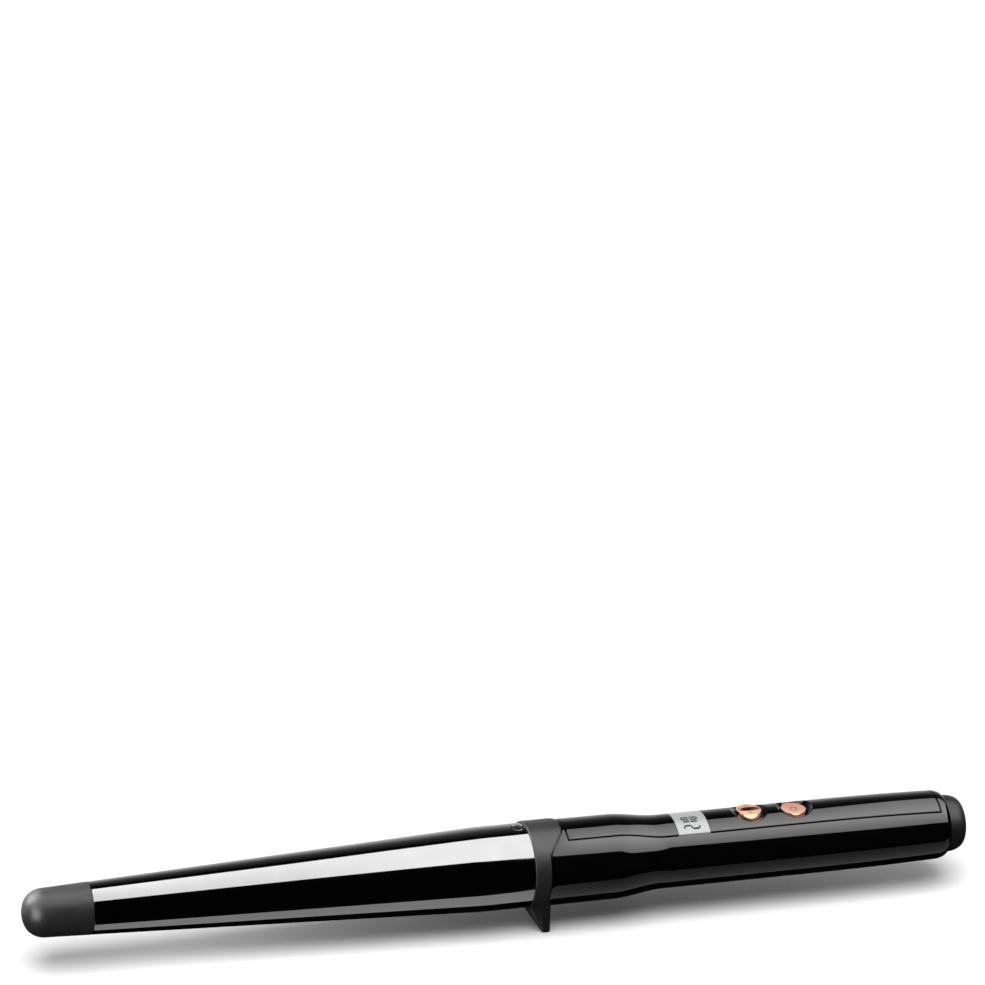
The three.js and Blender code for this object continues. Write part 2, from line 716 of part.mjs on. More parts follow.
// ---- Display ----
const display = new THREE.Group();
const lcdHalfL = (WINDOW_REAR - WINDOW_FRONT) / 2 - 1;
const lcdMiddle = (WINDOW_FRONT + WINDOW_REAR) / 2;
const lcdHalfW = 7.5;
const lcd = part("lcd_panel", new THREE.BoxGeometry(2 * lcdHalfL, 2 * lcdHalfW, 1.4), finishes.lcd);
lcd.position.set(lcdMiddle, 0, 9.75);
display.add(lcd);
const frameOuter = block([-lcdHalfL, lcdHalfL], [-lcdHalfW, lcdHalfW], [0, 3.9]);
const frameHollow = block([-lcdHalfL + 1.2, lcdHalfL - 1.2], [-lcdHalfW + 1.2, lcdHalfW - 1.2], [-1, 5]);
const lcdFrame = part("lcd_frame", cut(solid(frameOuter), frameHollow), finishes.ceramic);
lcdFrame.position.set(lcdMiddle, 0, BOARD_TOP + GAP);
display.add(lcdFrame);

// ---- Control board and what it carries ----
const electronics = new THREE.Group();
const boardBlank = block(
  [BOARD_FRONT, BOARD_REAR],
  [-BOARD_HALF_W, BOARD_HALF_W],
  [BOARD_TOP - BOARD_T, BOARD_TOP],
);
const boardHoles = BOARD_SCREWS.map((station) => upright(station, 0, 0, 10, 1.3, 12));
electronics.add(part("control_board", cut(solid(boardBlank), ...boardHoles), finishes.board));
for (const [i, name] of ["board_screw_front", "board_screw_rear"].entries()) {
  const screw = part(name, panScrew(2.0, 1.4, 1.0, 5.5), finishes.steel);
  screw.position.set(BOARD_SCREWS[i], 0, BOARD_TOP + GAP);
  electronics.add(screw);
}
const underBoard = BOARD_TOP - BOARD_T - GAP;
const fuseR = 1.8;
// Each hangs under the board: its stations, its sides, how far it reaches down, and its finish.
const hung = [
  ["microcontroller", [76, 84], [-4, 4], 1.6, finishes.chip],
  ["mains_capacitor", [88, 101], [-5, 5], 6.5, finishes.film],
  ["triac", [105, 115], [-5, 5], 4.4, finishes.chip],
];
for (const [name, x, y, height, material] of hung) {
  electronics.add(part(name, block(x, y, [underBoard - height, underBoard]), material));
}
const fuse = part("mains_fuse", rod(-5, 5, fuseR, 12), finishes.glass);
fuse.position.set(120, 5.2, underBoard - fuseR - GAP);
electronics.add(fuse);

// ---- End cap and swivel cord bush ----
function makeEndCap() {
  const rim = span(0, Math.PI / 2, 6).map((angle) => [
    CAP_END - CAP_ROUND + CAP_ROUND * Math.sin(angle),
    CAP_FLAT_R + (CAP_R - CAP_FLAT_R) * Math.cos(angle),
  ]);
  const shoulder = HANDLE_END + 2 * GAP;
  const bore = SWIVEL_R + 2 * GAP;
  const spigotBore = CAP_SPIGOT_R - 1.5;
  return turned([
    [CAP_SPIGOT_END, spigotBore],
    [CAP_SPIGOT_END, CAP_SPIGOT_R],
    [shoulder, CAP_SPIGOT_R],
    [shoulder, CAP_R],
    ...rim,
    [CAP_END, bore],
    [CAP_STEP, bore],
    [CAP_STEP, spigotBore],
  ]);
}

// A tail that carries the slip rings, a collar behind the cap's step, and a bush with the cord's bore.
function makeSwivel() {
  const mouth = CAP_END - 0.3;
  const edge = 0.5;
  const collarRear = CAP_STEP - 0.2;
  const collarFront = collarRear - 2.4;
  return turned(
    [
      [SWIVEL_TAIL_END, 0],
      [SWIVEL_TAIL_END, SWIVEL_TAIL_R],
      [collarFront, SWIVEL_TAIL_R],
      [collarFront, COLLAR_R],
      [collarRear, COLLAR_R],
      [collarRear, SWIVEL_R],
      [mouth - edge, SWIVEL_R],
      [mouth, SWIVEL_R - edge],
      [mouth, CORD_R],
      [CORD_BORE_END, CORD_R],
      [CORD_BORE_END, 0],
    ],
    32,
  );
}

// A leaf spring on the carrier's top that bends over to touch its slip ring from below.
function makeBrush(station) {
  const sheetT = 0.4;
  const foot = CARRIER_TOP + GAP;
  const top = foot + sheetT;
  const contact = -3.5;
  const leaf = new THREE.Shape([
    new THREE.Vector2(-3.4, foot),
    new THREE.Vector2(3.4, foot),
    new THREE.Vector2(3.4, top),
    new THREE.Vector2(2.6, top),
    new THREE.Vector2(0.8, contact),
    new THREE.Vector2(-0.8, contact),
    new THREE.Vector2(-1.0, contact - sheetT + GAP),
    new THREE.Vector2(0.6, contact - sheetT + GAP),
    new THREE.Vector2(2.2, top),
    new THREE.Vector2(-3.4, top),
  ]);
  const strip = acrossX(new THREE.ExtrudeGeometry(leaf, { depth: BRUSH_W, bevelEnabled: false }));
  return strip.translate(station - BRUSH_W / 2, 0, 0);
}

const cord = new THREE.Group();
cord.add(part("end_cap", makeEndCap(), finishes.softBlack));
cord.add(part("cord_swivel", makeSwivel(), finishes.softBlack));
const carrier = block([154, 166], [-4, 4], [CARRIER_FLOOR, CARRIER_TOP]);
cord.add(part("brush_carrier", carrier, finishes.nylon));
for (const [name, station] of RINGS) {
  const ring = tube(station - RING_W / 2, station + RING_W / 2, SWIVEL_TAIL_R + GAP, SWIVEL_TAIL_R + 1, 24);
  cord.add(part(`slip_ring_${name}`, ring, finishes.brass));
  cord.add(part(`brush_${name}`, makeBrush(station), finishes.brass));
}

// ---- Wiring ----
const wiring = new THREE.Group();
const heaterRun = [[-41, 3, 1.2], [-20, 4, 3], [10, 4, 2], [28, 3.5, 0], [45, 5, -2], [62, 6, 1.2]];
const mainsRun = [[153, 2.5, -8.6], [146, 3, -7], [138, 4, -3], [129, 5, 1.2]];
const heaterReturn = [
  [-41, -3, -1.2],
  [-20, -4, -3],
  [10, -4, -2],
  [28, -3.5, -1],
  [45, -5, -3],
  [62, -6, 1.2],
];
const sensorRun = [[-42.4, 0, 6.2], [-25, 0, 6], [5, 0, 3.8], [28, 0, 3.4], [42, 0, 4], [53, 0, 4.2]];
const leads = [
  ["heater_lead_live", heaterRun, finishes.wireRed],
  ["heater_lead_neutral", heaterReturn, finishes.wireBlue],
  ["sensor_lead", sensorRun, finishes.wireWhite],
  ["mains_lead_live", mainsRun, finishes.wireRed],
  ["mains_lead_neutral", mainsRun.map(([x, y, z]) => [x, -y, z]), finishes.wireBlue],
];
for (const [name, route, material] of leads) {
  wiring.add(part(name, wire(route, LEAD_R), material));
}

// ---- The whole wand ----
const wand = new THREE.Group();
wand.add(barrel, heater, guard, handle, keys, display, electronics, cord, wiring);
wand.position.set(-(FOOT_FRONT + FOOT_REAR) / 2, 0, FOOT_DROP);
const curlingWand = new THREE.Group();
curlingWand.add(wand);

export default curlingWand;
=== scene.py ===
import json
import math

import bmesh
import bpy
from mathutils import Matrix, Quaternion, Vector


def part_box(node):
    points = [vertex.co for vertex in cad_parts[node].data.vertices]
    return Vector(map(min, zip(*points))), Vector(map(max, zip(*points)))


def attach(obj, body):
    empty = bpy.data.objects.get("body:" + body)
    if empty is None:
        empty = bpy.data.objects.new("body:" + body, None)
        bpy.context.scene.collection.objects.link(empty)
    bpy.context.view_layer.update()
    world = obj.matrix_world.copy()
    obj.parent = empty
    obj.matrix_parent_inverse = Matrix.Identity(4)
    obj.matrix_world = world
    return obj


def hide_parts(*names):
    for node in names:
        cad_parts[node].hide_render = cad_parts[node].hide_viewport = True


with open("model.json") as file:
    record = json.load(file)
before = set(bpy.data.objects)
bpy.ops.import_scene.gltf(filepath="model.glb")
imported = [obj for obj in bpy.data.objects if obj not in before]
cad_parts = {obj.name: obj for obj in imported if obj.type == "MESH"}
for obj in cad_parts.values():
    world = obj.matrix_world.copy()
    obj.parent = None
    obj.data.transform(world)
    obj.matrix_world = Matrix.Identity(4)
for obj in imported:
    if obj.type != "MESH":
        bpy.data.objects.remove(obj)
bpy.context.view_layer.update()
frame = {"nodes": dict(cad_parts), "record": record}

# Shapes are drawn in millimetres: station along the wand from the guard's front face, y across,
# z over the wand's axis.
MM = 0.001
FRONT_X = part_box("guard")[0].x
AXIS_Z = sum(corner.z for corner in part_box("barrel")) / 2
BODY = "wand_body"


def station_of(node):
    low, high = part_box(node)
    return ((low.x + high.x) / 2 - FRONT_X) / MM


# ---- Dimensions ----
COLUMNS = 160  # steps round a turned body

TIP_END, TIP_JOIN, TIP_DOME = -196.45, -171.0, 8.8
TIP_NOSE_R, TIP_REAR_R = 9.32, 10.0
TIP_BLUNT = 0.89  # a power under 1 makes the nose fuller than an ellipse
TIP_REAR_ROUND = 0.18
TIP_HOLLOW_CORNER, TIP_HOLLOW_BOTTOM = 12.0, 9.0  # behind the nose's end
SPIGOT_LENGTH, SPIGOT_WALL, SPIGOT_ROOT_WALL, SPIGOT_PLAY = 9.0, 2.0, 2.6, 0.05

BARREL_R, BARREL_TIP_R, BARREL_WALL = 16.35, 9.95, 1.2
BARREL_STRAIGHT, BARREL_REAR = -18.0, 5.0
BARREL_GAP, BARREL_LIP_ROUND = 0.1, 0.35
CONE_ROWS_FROM, SCREW_ROWS = -160, (-8, 2)  # stations of the barrel's rows, close at its screws
SCREW_AT = station_of("barrel_screw_top")
SCREW_HOLE_FROM, SCREW_HOLE_R = 10, 2.5
SINK_R, SINK_FROM, SINK_TO = 3.1, -0.25, 0.35  # the countersink, from the barrel's surface
SHANK_R, SHANK_LENGTH, HEAD_R, HEAD_H, HEAD_ROUND = 1.1, 3.6, 2.3, 0.95, 0.3
CROSS_HALF_L, CROSS_HALF_W, CROSS_FLOOR = 1.35, 0.24, 0.45
CROSS_TURN = 0.4  # radians

GUARD_R, GUARD_SIDE_W, GUARD_TOP_W = 17.0, 6.3, 13.2
SADDLE_FROM, SADDLE_TO = 12, 61  # degrees from the top over which the saddle narrows
SADDLE_RAMP = (-0.3, 0.4)  # from the ring's step, where it starts to be drawn out into the saddle
GUARD_BORE_PLAY, GUARD_NOSE_PLAY, GUARD_STEP_GAP = 0.05, 0.1, 0.3
GUARD_FRONT_ROUND, GUARD_REAR_ROUND = 0.4, 0.5
FOOT_DROP, FOOT_FRONT, FOOT_REAR, FOOT_HALF_FLAT = 29.6, 9.2, 11.8, 1.1
FOOT_ROOT_SINK = 0.1  # into the ring
FOOT_ROOT_FRONT, FOOT_ROOT_REAR = 2.6, 0.3  # ahead of the ring's rear face
FOOT_SHIN_DEGREES, FOOT_SHIN_FRONT = 30, 0.4
FOOT_ANKLE_SPREAD, FOOT_ANKLE_H = 1.6, 0.7
FOOT_BORE_PLAY, FOOT_BEVEL = 0.15, 0.35

NOSE_R, NOSE_FRONT, NOSE_CHAMFER_R, NOSE_CHAMFER_L = 15.2, 5.6, 0.4, 0.3
HANDLE_FRONT_R, HANDLE_NECK_R, GRIP_R = 16.5, 16.45, 14.4
NECK_FROM, NECK_TO = 35.0, 55.5
TAPER_FROM, TAPER_TO, TAPER_DROP = 120.0, 169.5, 0.72
HANDLE_END, HANDLE_END_R, SHELL_T = 174.0, 12.2, 3.4
MOUTH_R, MOUTH_FROM, GRIP_BORE_TO, NECK_BORE_INSET = 10.35, 163, 140, 1
BULKHEAD_FRONT, BULKHEAD_REAR, BULKHEAD_HOLE_R = 30, 33, 6

COVER_FRONT, COVER_REAR, COVER_HALF_W, COVER_T = 14.9, 169.9, 9.3, 2.2
SEAM, SADDLE_GAP = 0.35, 0.35
EDGE, COVER_EDGE = 0.3, 0.5  # widths of the rounded edges of the handle's pocket and of the cover
POCKET_PLAY, FULL_SINK = 0.15, 9
LEDGE_HALF_W, LEDGE_L, OPENING_FLOOR = 7.75, 2.4, 7
ABOVE_ALL = 20  # clear of the handle's top, for the tools that cut it from above
WINDOW_FRONT, WINDOW_REAR, WINDOW_T, WINDOW_MIDDLE = 60.0, 73.1, 1.3, 66.5
WINDOW_PLAY, WINDOW_LIP, APERTURE_INSET = 0.05, 0.12, 0.9
LENS_EDGE = [(0.0, 0.12), (0.04, 0.04), (0.12, 0.0)]  # (inset, drop) from the lens's wall to its face
LENS_FLAT_INSET = 0.5
DIGIT_W, DIGIT_HALF_H, STROKE, DIGIT_FOOT = 1.35, 3.15, 0.72, 69.4
DIGIT_TAPER, DIGIT_SHOULDER, DIGIT_PROUD, DIGIT_DEPTH = 0.1, 0.07, 0.03, 0.3

ROCKER_AT, ROCKER_R, ROCKER_FOOT, ROCKER_TOP = station_of("temperature_rocker"), 5.15, 9.25, 14.4
ROCKER_PIN_Z, ROCKER_PIN_BORE_R, ROCKER_PIN_HALF_L = 10.2, 0.67, 9
POWER_AT, POWER_R, POWER_FOOT, POWER_TOP = station_of("power_button"), 5.3, 9.6, 13.0
ROCKER_HOLE_R, POWER_HOLE_R, HOLE_LIP = 5.35, 5.4, 0.12
DISH_R, WELL_R, WELL_FLOOR = 7.4, 8.2, 10.2
ROCKER_DISH, POWER_DISH = (0.5, 1.5), (1.85, 1.85)  # depth at the hole, along the wand and across it
DISH_BLEND, DISH_SQUARE_HALF = 0.14, 8.4
DISH_RIM_STEPS = (0.4, 0.2, 0.1, 0.0, -0.1, -0.2, -0.35)  # close rings over the hollow's rim
FACE_INSET, RIM_DROP, RIM_TURN = 0.5, 0.15, 1.45  # the keys' rounded rims; the turn is in radians
ROCKER_SKIRT, POWER_SKIRT = (0.25, 2.0), (0.4, 1.3)  # how far the wall flares, and over what height
VALLEY_DEPTH, VALLEY_REACH, NEAR_DEPTH = 0.57, 2.2, 0.15  # the rocker's crease, and its face at the front
POWER_DIMPLE = 0.22
MARK_PROUD, MARK_DEPTH, MARK_W, POWER_MARK_W = 0.025, 0.2, 0.3, 0.32
POWER_MARK_R, POWER_MARK_TURN = 1.35, math.radians(145)

CAP_END, CAP_R, CAP_ROUND, CAP_FLAT_R = 181.9, 11.3, 6.2, 8.2
CAP_FRONT, CAP_NECK_R, CAP_NECK_BORE_R, CAP_FLANGE = 166.4, 10.1, 8.6, 170.6
CAP_PLAY, CAP_SHOULDER_ROUND, CAP_MOUTH_ROUND = 0.1, 0.3, 0.25
SWIVEL_R, CORD_R, SWIVEL_SET_BACK = 5.0, 3.2, 0.3
SPINDLE_FRONT, SPINDLE_R = 155, 2.4
SWIVEL_FLANGE_FROM, SWIVEL_FLANGE_TO, SWIVEL_FLANGE_R, CORD_HOLE_FLOOR = 168, 170.4, 7.6, 171.5
SWIVEL_RIM_ROUND, SWIVEL_MOUTH_ROUND = 0.5, 0.4


# ---- Arithmetic ----
def lerp(a, b, t):
    return a + (b - a) * t


def smoothstep(value, low, high):
    t = min(1.0, max(0.0, (value - low) / (high - low)))
    return t * t * (3 - 2 * t)


def span(low, high, count):
    """count + 1 evenly spaced values from low to high."""
    return [lerp(low, high, i / count) for i in range(count + 1)]


# ---- Outlines ----
def barrel_radius(s):
    along = (s - TIP_JOIN) / (BARREL_STRAIGHT - TIP_JOIN)
    return BARREL_R if s >= BARREL_STRAIGHT else lerp(BARREL_TIP_R, BARREL_R, along)


def handle_radius(s):
    neck = (HANDLE_NECK_R - GRIP_R) * (1 - smoothstep(s, NECK_FROM, NECK_TO))
    taper = TAPER_DROP * max(0.0, (s - TAPER_FROM) / (TAPER_TO - TAPER_FROM)) ** 2
    flare = (HANDLE_FRONT_R - HANDLE_NECK_R) * (1 - smoothstep(s, COVER_FRONT, NECK_FROM))
    if s <= TAPER_TO:
        return GRIP_R + neck + flare - taper
    along = (s - TAPER_TO) / (HANDLE_END - TAPER_TO)
    last = GRIP_R - TAPER_DROP
    return HANDLE_END_R + (last - HANDLE_END_R) * math.sqrt(max(0.0, 1 - along * along))


def surface_z(s, y, depth=0.0):
    """Height of the handle's top surface over the axis, at a depth below the surface."""
    return math.sqrt(max(0.01, (handle_radius(s) - depth) ** 2 - y * y))


def guard_width(angle):
    """How far back the guard's rear edge lies, at an angle in radians from the top."""
    degrees = math.degrees(math.acos(math.cos(angle)))
    return GUARD_TOP_W - (GUARD_TOP_W - GUARD_SIDE_W) * smoothstep(degrees, SADDLE_FROM, SADDLE_TO)


# ---- Mesh building ----
class Skin:
    """Points in millimetres and the faces between them."""

    def __init__(self):
        self.points = []
        self.faces = []

    def ring(self, points):
        start = len(self.points)
        self.points.extend(points)
        return list(range(start, len(self.points)))

    def bridge(self, a, b):
        n = len(a)
        for i in range(n):
            j = (i + 1) % n
            self.faces.append((a[i], a[j], b[j], b[i]))

    def add(self, other):
        start = len(self.points)
        self.points += other.points
        self.faces += [tuple(start + i for i in face) for face in other.faces]


def sweep(rows, closed=True):
    """A skin through rows of points, each row a loop round the axis."""
    skin = Skin()
    rings = [skin.ring(row) for row in rows]
    for a, b in zip(rings, rings[1:]):
        skin.bridge(a, b)
    if closed:
        skin.bridge(rings[-1], rings[0])
    return skin


def rounded(points, radii, steps=5):
    """The closed outline with the corners that radii names turned into curves."""
    out = []
    for i, p in enumerate(points):
        size = radii.get(i, 0)
        if not size:
            out.append(p)
            continue
        corner = Vector(p)
        before = corner + (Vector(points[i - 1]) - corner).normalized() * size
        after = corner + (Vector(points[(i + 1) % len(points)]) - corner).normalized() * size
        for t in span(0, 1, steps):
            out.append(tuple(before * (1 - t) ** 2 + corner * 2 * t * (1 - t) + after * t * t))
    return out


def turned(profile, columns=COLUMNS):
    """A body turned about the wand's axis from (station, radius) points."""
    angles = [2 * math.pi * k / columns for k in range(columns)]
    rows = [[(s, -r * math.sin(a), r * math.cos(a)) for a in angles] for s, r in profile]
    ends_on_axis = profile[0][1] == 0 and profile[-1][1] == 0
    return sweep(rows, closed=not ends_on_axis)


def along_wand(p):
    return (FRONT_X + p[0] * MM, p[1] * MM, AXIS_Z + p[2] * MM)


def in_scene(name, data):
    obj = bpy.data.objects.new(name, data)
    bpy.context.scene.collection.objects.link(obj)
    return obj


def bare(name, skin, place=along_wand):
    """A closed mesh object from a skin, with doubled points merged and its faces pointing out."""
    mesh = bpy.data.meshes.new(name)
    mesh.from_pydata([place(p) for p in skin.points], [], skin.faces)
    bm = bmesh.new()
    bm.from_mesh(mesh)
    bmesh.ops.remove_doubles(bm, verts=bm.verts, dist=1.5e-6)
    bmesh.ops.dissolve_degenerate(bm, dist=1e-6, edges=bm.edges)
    bmesh.ops.recalc_face_normals(bm, faces=bm.faces)
    bm.to_mesh(mesh)
    bm.free()
    return in_scene(name, mesh)


def combine(obj, tool, operation="DIFFERENCE"):
    """Cuts the tool out of obj, or joins it on, and takes the tool away."""
    modifier = obj.modifiers.new("combine", "BOOLEAN")
    modifier.operation = operation
    modifier.solver = "MANIFOLD"
    modifier.object = tool
    shape = obj.evaluated_get(bpy.context.evaluated_depsgraph_get())
    mesh = bpy.data.meshes.new_from_object(shape)
    obj.modifiers.clear()
    obj.data = mesh
    bpy.data.objects.remove(tool)
    return obj


def finish(obj, material, body, slot, *nodes, crease=30):
    """Shades the piece smooth between creases and puts it on its body."""
    mesh = obj.data
    mesh.materials.clear()
    mesh.materials.append(material)
    mesh.shade_smooth()
    mesh.set_sharp_from_angle(angle=math.radians(crease))
    weighted = obj.modifiers.new("normals", "WEIGHTED_NORMAL")
    weighted.keep_sharp = True
    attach(obj, body)
    if nodes:
        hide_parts(*nodes)
    return obj


def block(x, y, z):
    """A box from (low, high) pairs, as a skin."""
    skin = Skin()
    corners = [(x[0], z[0]), (x[1], z[0]), (x[1], z[1]), (x[0], z[1])]
    rings = [skin.ring([(s, y[0], h), (s, y[1], h)]) for s, h in corners]
    for a, b in zip(rings, rings[1:] + rings[:1]):
        skin.faces.append((a[0], a[1], b[1], b[0]))
    skin.faces.append(tuple(r[0] for r in rings))
    skin.faces.append(tuple(r[1] for r in rings))
    return skin


def upright(profile, columns=48):
    """A body turned about Z from (height, radius) points, as a skin whose x and y start at zero."""
    skin = turned(profile, columns)
    skin.points = [(y, z, s) for s, y, z in skin.points]
    return skin


def at(station, z=0.0, flip=1):
    """Places a skin at a station and height; flip -1 turns it to point down."""
    return lambda p: along_wand((station + p[0], flip * p[1], z + flip * p[2]))


# ---- Materials ----
MOTTLE_SIZE, SCUFF_SIZE = 9, 4  # millimetres
NOISE_RANGE = (0.3, 0.7)  # the noise seldom leaves it
EDGE_POINTINESS = (0.53, 0.62)  # from flat to a sharp outer edge


def surface(name, color, roughness, metallic=0.0, mottle=0.08, grain=0.3, bump=0.004,
            scuff=0.05, stretch=1.0, coat=0.0, edge=0.0, specular=0.5):
    """A moulded, plated or printed surface: mottled colour, grain, scuffed gloss and paler worn edges."""
    material = bpy.data.materials.new(name)
    material.use_nodes = True
    nodes, links = material.node_tree.nodes, material.node_tree.links
    shader = nodes["Principled BSDF"]
    shader.inputs["Metallic"].default_value = metallic
    shader.inputs["Specular IOR Level"].default_value = specular
    shader.inputs["Coat Weight"].default_value = coat
    shader.inputs["Coat Roughness"].default_value = 0.03

    place = nodes.new("ShaderNodeTexCoord")
    to_mm = nodes.new("ShaderNodeMapping")
    to_mm.inputs["Scale"].default_value = (stretch / MM, 1 / MM, 1 / MM)
    links.new(place.outputs["Object"], to_mm.inputs["Vector"])

    def noise(size, detail):
        node = nodes.new("ShaderNodeTexNoise")
        node.inputs["Scale"].default_value = 1 / size
        node.inputs["Detail"].default_value = detail
        links.new(to_mm.outputs["Vector"], node.inputs["Vector"])
        return node.outputs["Fac"]

    def remap(source, low, high):
        node = nodes.new("ShaderNodeMapRange")
        node.inputs["From Min"].default_value, node.inputs["From Max"].default_value = NOISE_RANGE
        node.inputs["To Min"].default_value = low
        node.inputs["To Max"].default_value = high
        links.new(source, node.inputs["Value"])
        return node.outputs["Result"]

    tint = nodes.new("ShaderNodeMix")
    tint.data_type = "RGBA"
    links.new(remap(noise(MOTTLE_SIZE, 3), 0, 1), tint.inputs["Factor"])
    tint.inputs["A"].default_value = (*[c * (1 - mottle) for c in color], 1)
    tint.inputs["B"].default_value = (*[min(1, c * (1 + mottle)) for c in color], 1)
    base = tint.outputs["Result"]
    if edge:
        wear = nodes.new("ShaderNodeMix")
        wear.data_type = "RGBA"
        geometry = nodes.new("ShaderNodeNewGeometry")
        ramp = nodes.new("ShaderNodeMapRange")
        ramp.inputs["From Min"].default_value, ramp.inputs["From Max"].default_value = EDGE_POINTINESS
        ramp.inputs["To Max"].default_value = edge
        links.new(geometry.outputs["Pointiness"], ramp.inputs["Value"])
        links.new(ramp.outputs["Result"], wear.inputs["Factor"])
        links.new(base, wear.inputs["A"])
        wear.inputs["B"].default_value = (*[min(1, c * 2 + 0.03) for c in color], 1)
        base = wear.outputs["Result"]
    links.new(base, shader.inputs["Base Color"])
    gloss = remap(noise(SCUFF_SIZE, 4), max(0.01, roughness - scuff), roughness + scuff)
    links.new(gloss, shader.inputs["Roughness"])
    relief = nodes.new("ShaderNodeBump")
    relief.inputs["Distance"].default_value = bump * MM
    links.new(noise(grain, 2), relief.inputs["Height"])
    links.new(relief.outputs["Normal"], shader.inputs["Normal"])
    return material


titanium = surface(
    "coated_barrel", (0.27, 0.27, 0.27), 0.05, metallic=1, mottle=0.03, grain=6, bump=0.0006, scuff=0.02)
soft_black = surface(
    "soft_black", (0.008, 0.008, 0.0084), 0.42, mottle=0.12, grain=0.22, bump=0.005, edge=0.5)
# Painted shade: a darker, less glossy copy of soft_black for the end cap and the cord bush, to hold them down
# under the bright panel over the handle's end.
shaded_cap_black = surface(
    "shaded_cap_black", (0.006, 0.006, 0.0063), 0.4, mottle=0.12, grain=0.22, bump=0.005, edge=0.4, specular=0.32)
gloss_black = surface(
    "gloss_black", (0.0008, 0.0008, 0.0009), 0.035, mottle=0.3, grain=7, bump=0.0005, scuff=0.015)
rose_gold = surface(
    "rose_gold", (0.87, 0.44, 0.29), 0.13, metallic=1, mottle=0.04, grain=0.2, bump=0.0006, scuff=0.04)
lens = surface("display_lens", (0.27, 0.275, 0.275), 0.24, mottle=0.03, grain=2, bump=0.0008, coat=0.15)
ink = surface("display_ink", (0.008, 0.008, 0.009), 0.4, mottle=0.1, grain=1, bump=0.001, specular=0.2)
engraving = surface("key_marking", (0.12, 0.045, 0.025), 0.4, metallic=0.6, mottle=0.2, bump=0.002)
# A darker copy of the steel finish, used for the barrel's screw heads.
dark_steel = surface(
    "dark_screw_steel", (0.16, 0.16, 0.165), 0.3, metallic=1, mottle=0.15, grain=0.4, bump=0.003, edge=0.4)
steel = surface(
    "zinc_steel", (0.52, 0.52, 0.53), 0.3, metallic=1, mottle=0.1, grain=0.4, bump=0.003, edge=0.4)
brass = surface(
    "brass", (0.75, 0.53, 0.2), 0.28, metallic=1, mottle=0.15, grain=0.4, bump=0.003, edge=0.3)

# The finish of each of the record's material slots, for the CAD parts that stay.
FINISHES = {
    "coated_barrel": titanium,
    "soft_black": soft_black,
    "gloss_black": gloss_black,
    "rose_gold": rose_gold,
    "display_lens": lens,
    "steel": steel,
    "aluminium": surface("extruded_aluminium", (0.6, 0.61, 0.62), 0.38, metallic=1, grain=0.5, stretch=0.05),
    "brass": brass,
    "ceramic": surface("heater_ceramic", (0.78, 0.74, 0.66), 0.7, mottle=0.06, grain=0.12, bump=0.01),
    "mica": surface("mica_sheet", (0.42, 0.29, 0.13), 0.45, mottle=0.25, grain=1.5, bump=0.01),
    "nylon": surface("heat_resistant_nylon", (0.05, 0.042, 0.036), 0.55, mottle=0.15, bump=0.008),
    "board": surface("circuit_board", (0.016, 0.1, 0.045), 0.4, mottle=0.2, grain=0.8, bump=0.006, coat=0.3),
    "component": surface("component_black", (0.012, 0.012, 0.013), 0.5, mottle=0.15, grain=0.2, bump=0.006),
    "capacitor": surface("capacitor_yellow", (0.68, 0.46, 0.05), 0.4, grain=0.6),
    "fuse_glass": surface("fuse_glass", (0.62, 0.68, 0.66), 0.1, mottle=0.05, grain=1, bump=0.002, coat=0.8),
    "sleeve_red": surface("sleeve_red", (0.34, 0.025, 0.016), 0.55, mottle=0.12, grain=0.5, bump=0.01),
    "sleeve_white": surface("sleeve_white", (0.72, 0.69, 0.62), 0.55, mottle=0.06, grain=0.5, bump=0.01),
    "sleeve_blue": surface("sleeve_blue", (0.024, 0.08, 0.24), 0.55, mottle=0.12, grain=0.5, bump=0.01),
    "lcd": surface("lcd_glass", (0.5, 0.52, 0.5), 0.2, mottle=0.04, grain=1, bump=0.001, coat=0.5),
}


# ---- Tip cap ----
def make_tip_cap():
    """A blunt domed cap, hollow from behind, with a spigot that fits in the barrel."""
    nose = [
        (TIP_END + TIP_DOME * (1 - math.sin(u) ** TIP_BLUNT), TIP_NOSE_R * math.cos(u) ** TIP_BLUNT)
        for u in span(0, math.pi / 2 - 1e-6, 28)
    ]
    nose[-1] = (TIP_END, 0)
    spigot_r, spigot_end = BARREL_TIP_R - BARREL_WALL - SPIGOT_PLAY, TIP_JOIN + SPIGOT_LENGTH
    back = [
        (TIP_JOIN, TIP_REAR_R),
        (TIP_JOIN, spigot_r),
        (spigot_end, spigot_r),
        (spigot_end, spigot_r - SPIGOT_WALL),
        (TIP_END + TIP_HOLLOW_CORNER, spigot_r - SPIGOT_ROOT_WALL),
        (TIP_END + TIP_HOLLOW_BOTTOM, 0),
    ]
    outline = rounded(nose[::-1] + back, {len(nose): TIP_REAR_ROUND})
    return bare("tip_cap_shell", turned(outline))


tip = finish(make_tip_cap(), soft_black, BODY, "soft_black", "tip_cap", crease=35)


# ---- Barrel, with a countersunk hole above and below for its screws ----
def make_barrel():
    front, bore = TIP_JOIN + BARREL_GAP, BARREL_R - BARREL_WALL
    outline = [
        (front, barrel_radius(front) - BARREL_WALL),
        (front, barrel_radius(front)),
        *[(s, barrel_radius(s)) for s in span(CONE_ROWS_FROM, BARREL_STRAIGHT, 24)],
        *[(s, BARREL_R) for s in span(*SCREW_ROWS, 20)],
        (BARREL_REAR, BARREL_R),
        (BARREL_REAR, bore),
        (BARREL_STRAIGHT, bore),
    ]
    shell = bare("barrel_shell", turned(rounded(outline, {1: BARREL_LIP_ROUND}), 192))
    hole = upright([
        (SCREW_HOLE_FROM, 0), (SCREW_HOLE_FROM, SCREW_HOLE_R), (BARREL_R + SINK_FROM, SCREW_HOLE_R),
        (BARREL_R + SINK_TO, SINK_R), (BARREL_R + 1, SINK_R), (BARREL_R + 1, 0),
    ])
    for flip in (1, -1):
        combine(shell, bare("hole", hole, at(SCREW_AT, flip=flip)))
    return shell


barrel = finish(make_barrel(), titanium, BODY, "coated_barrel", "barrel", crease=25)


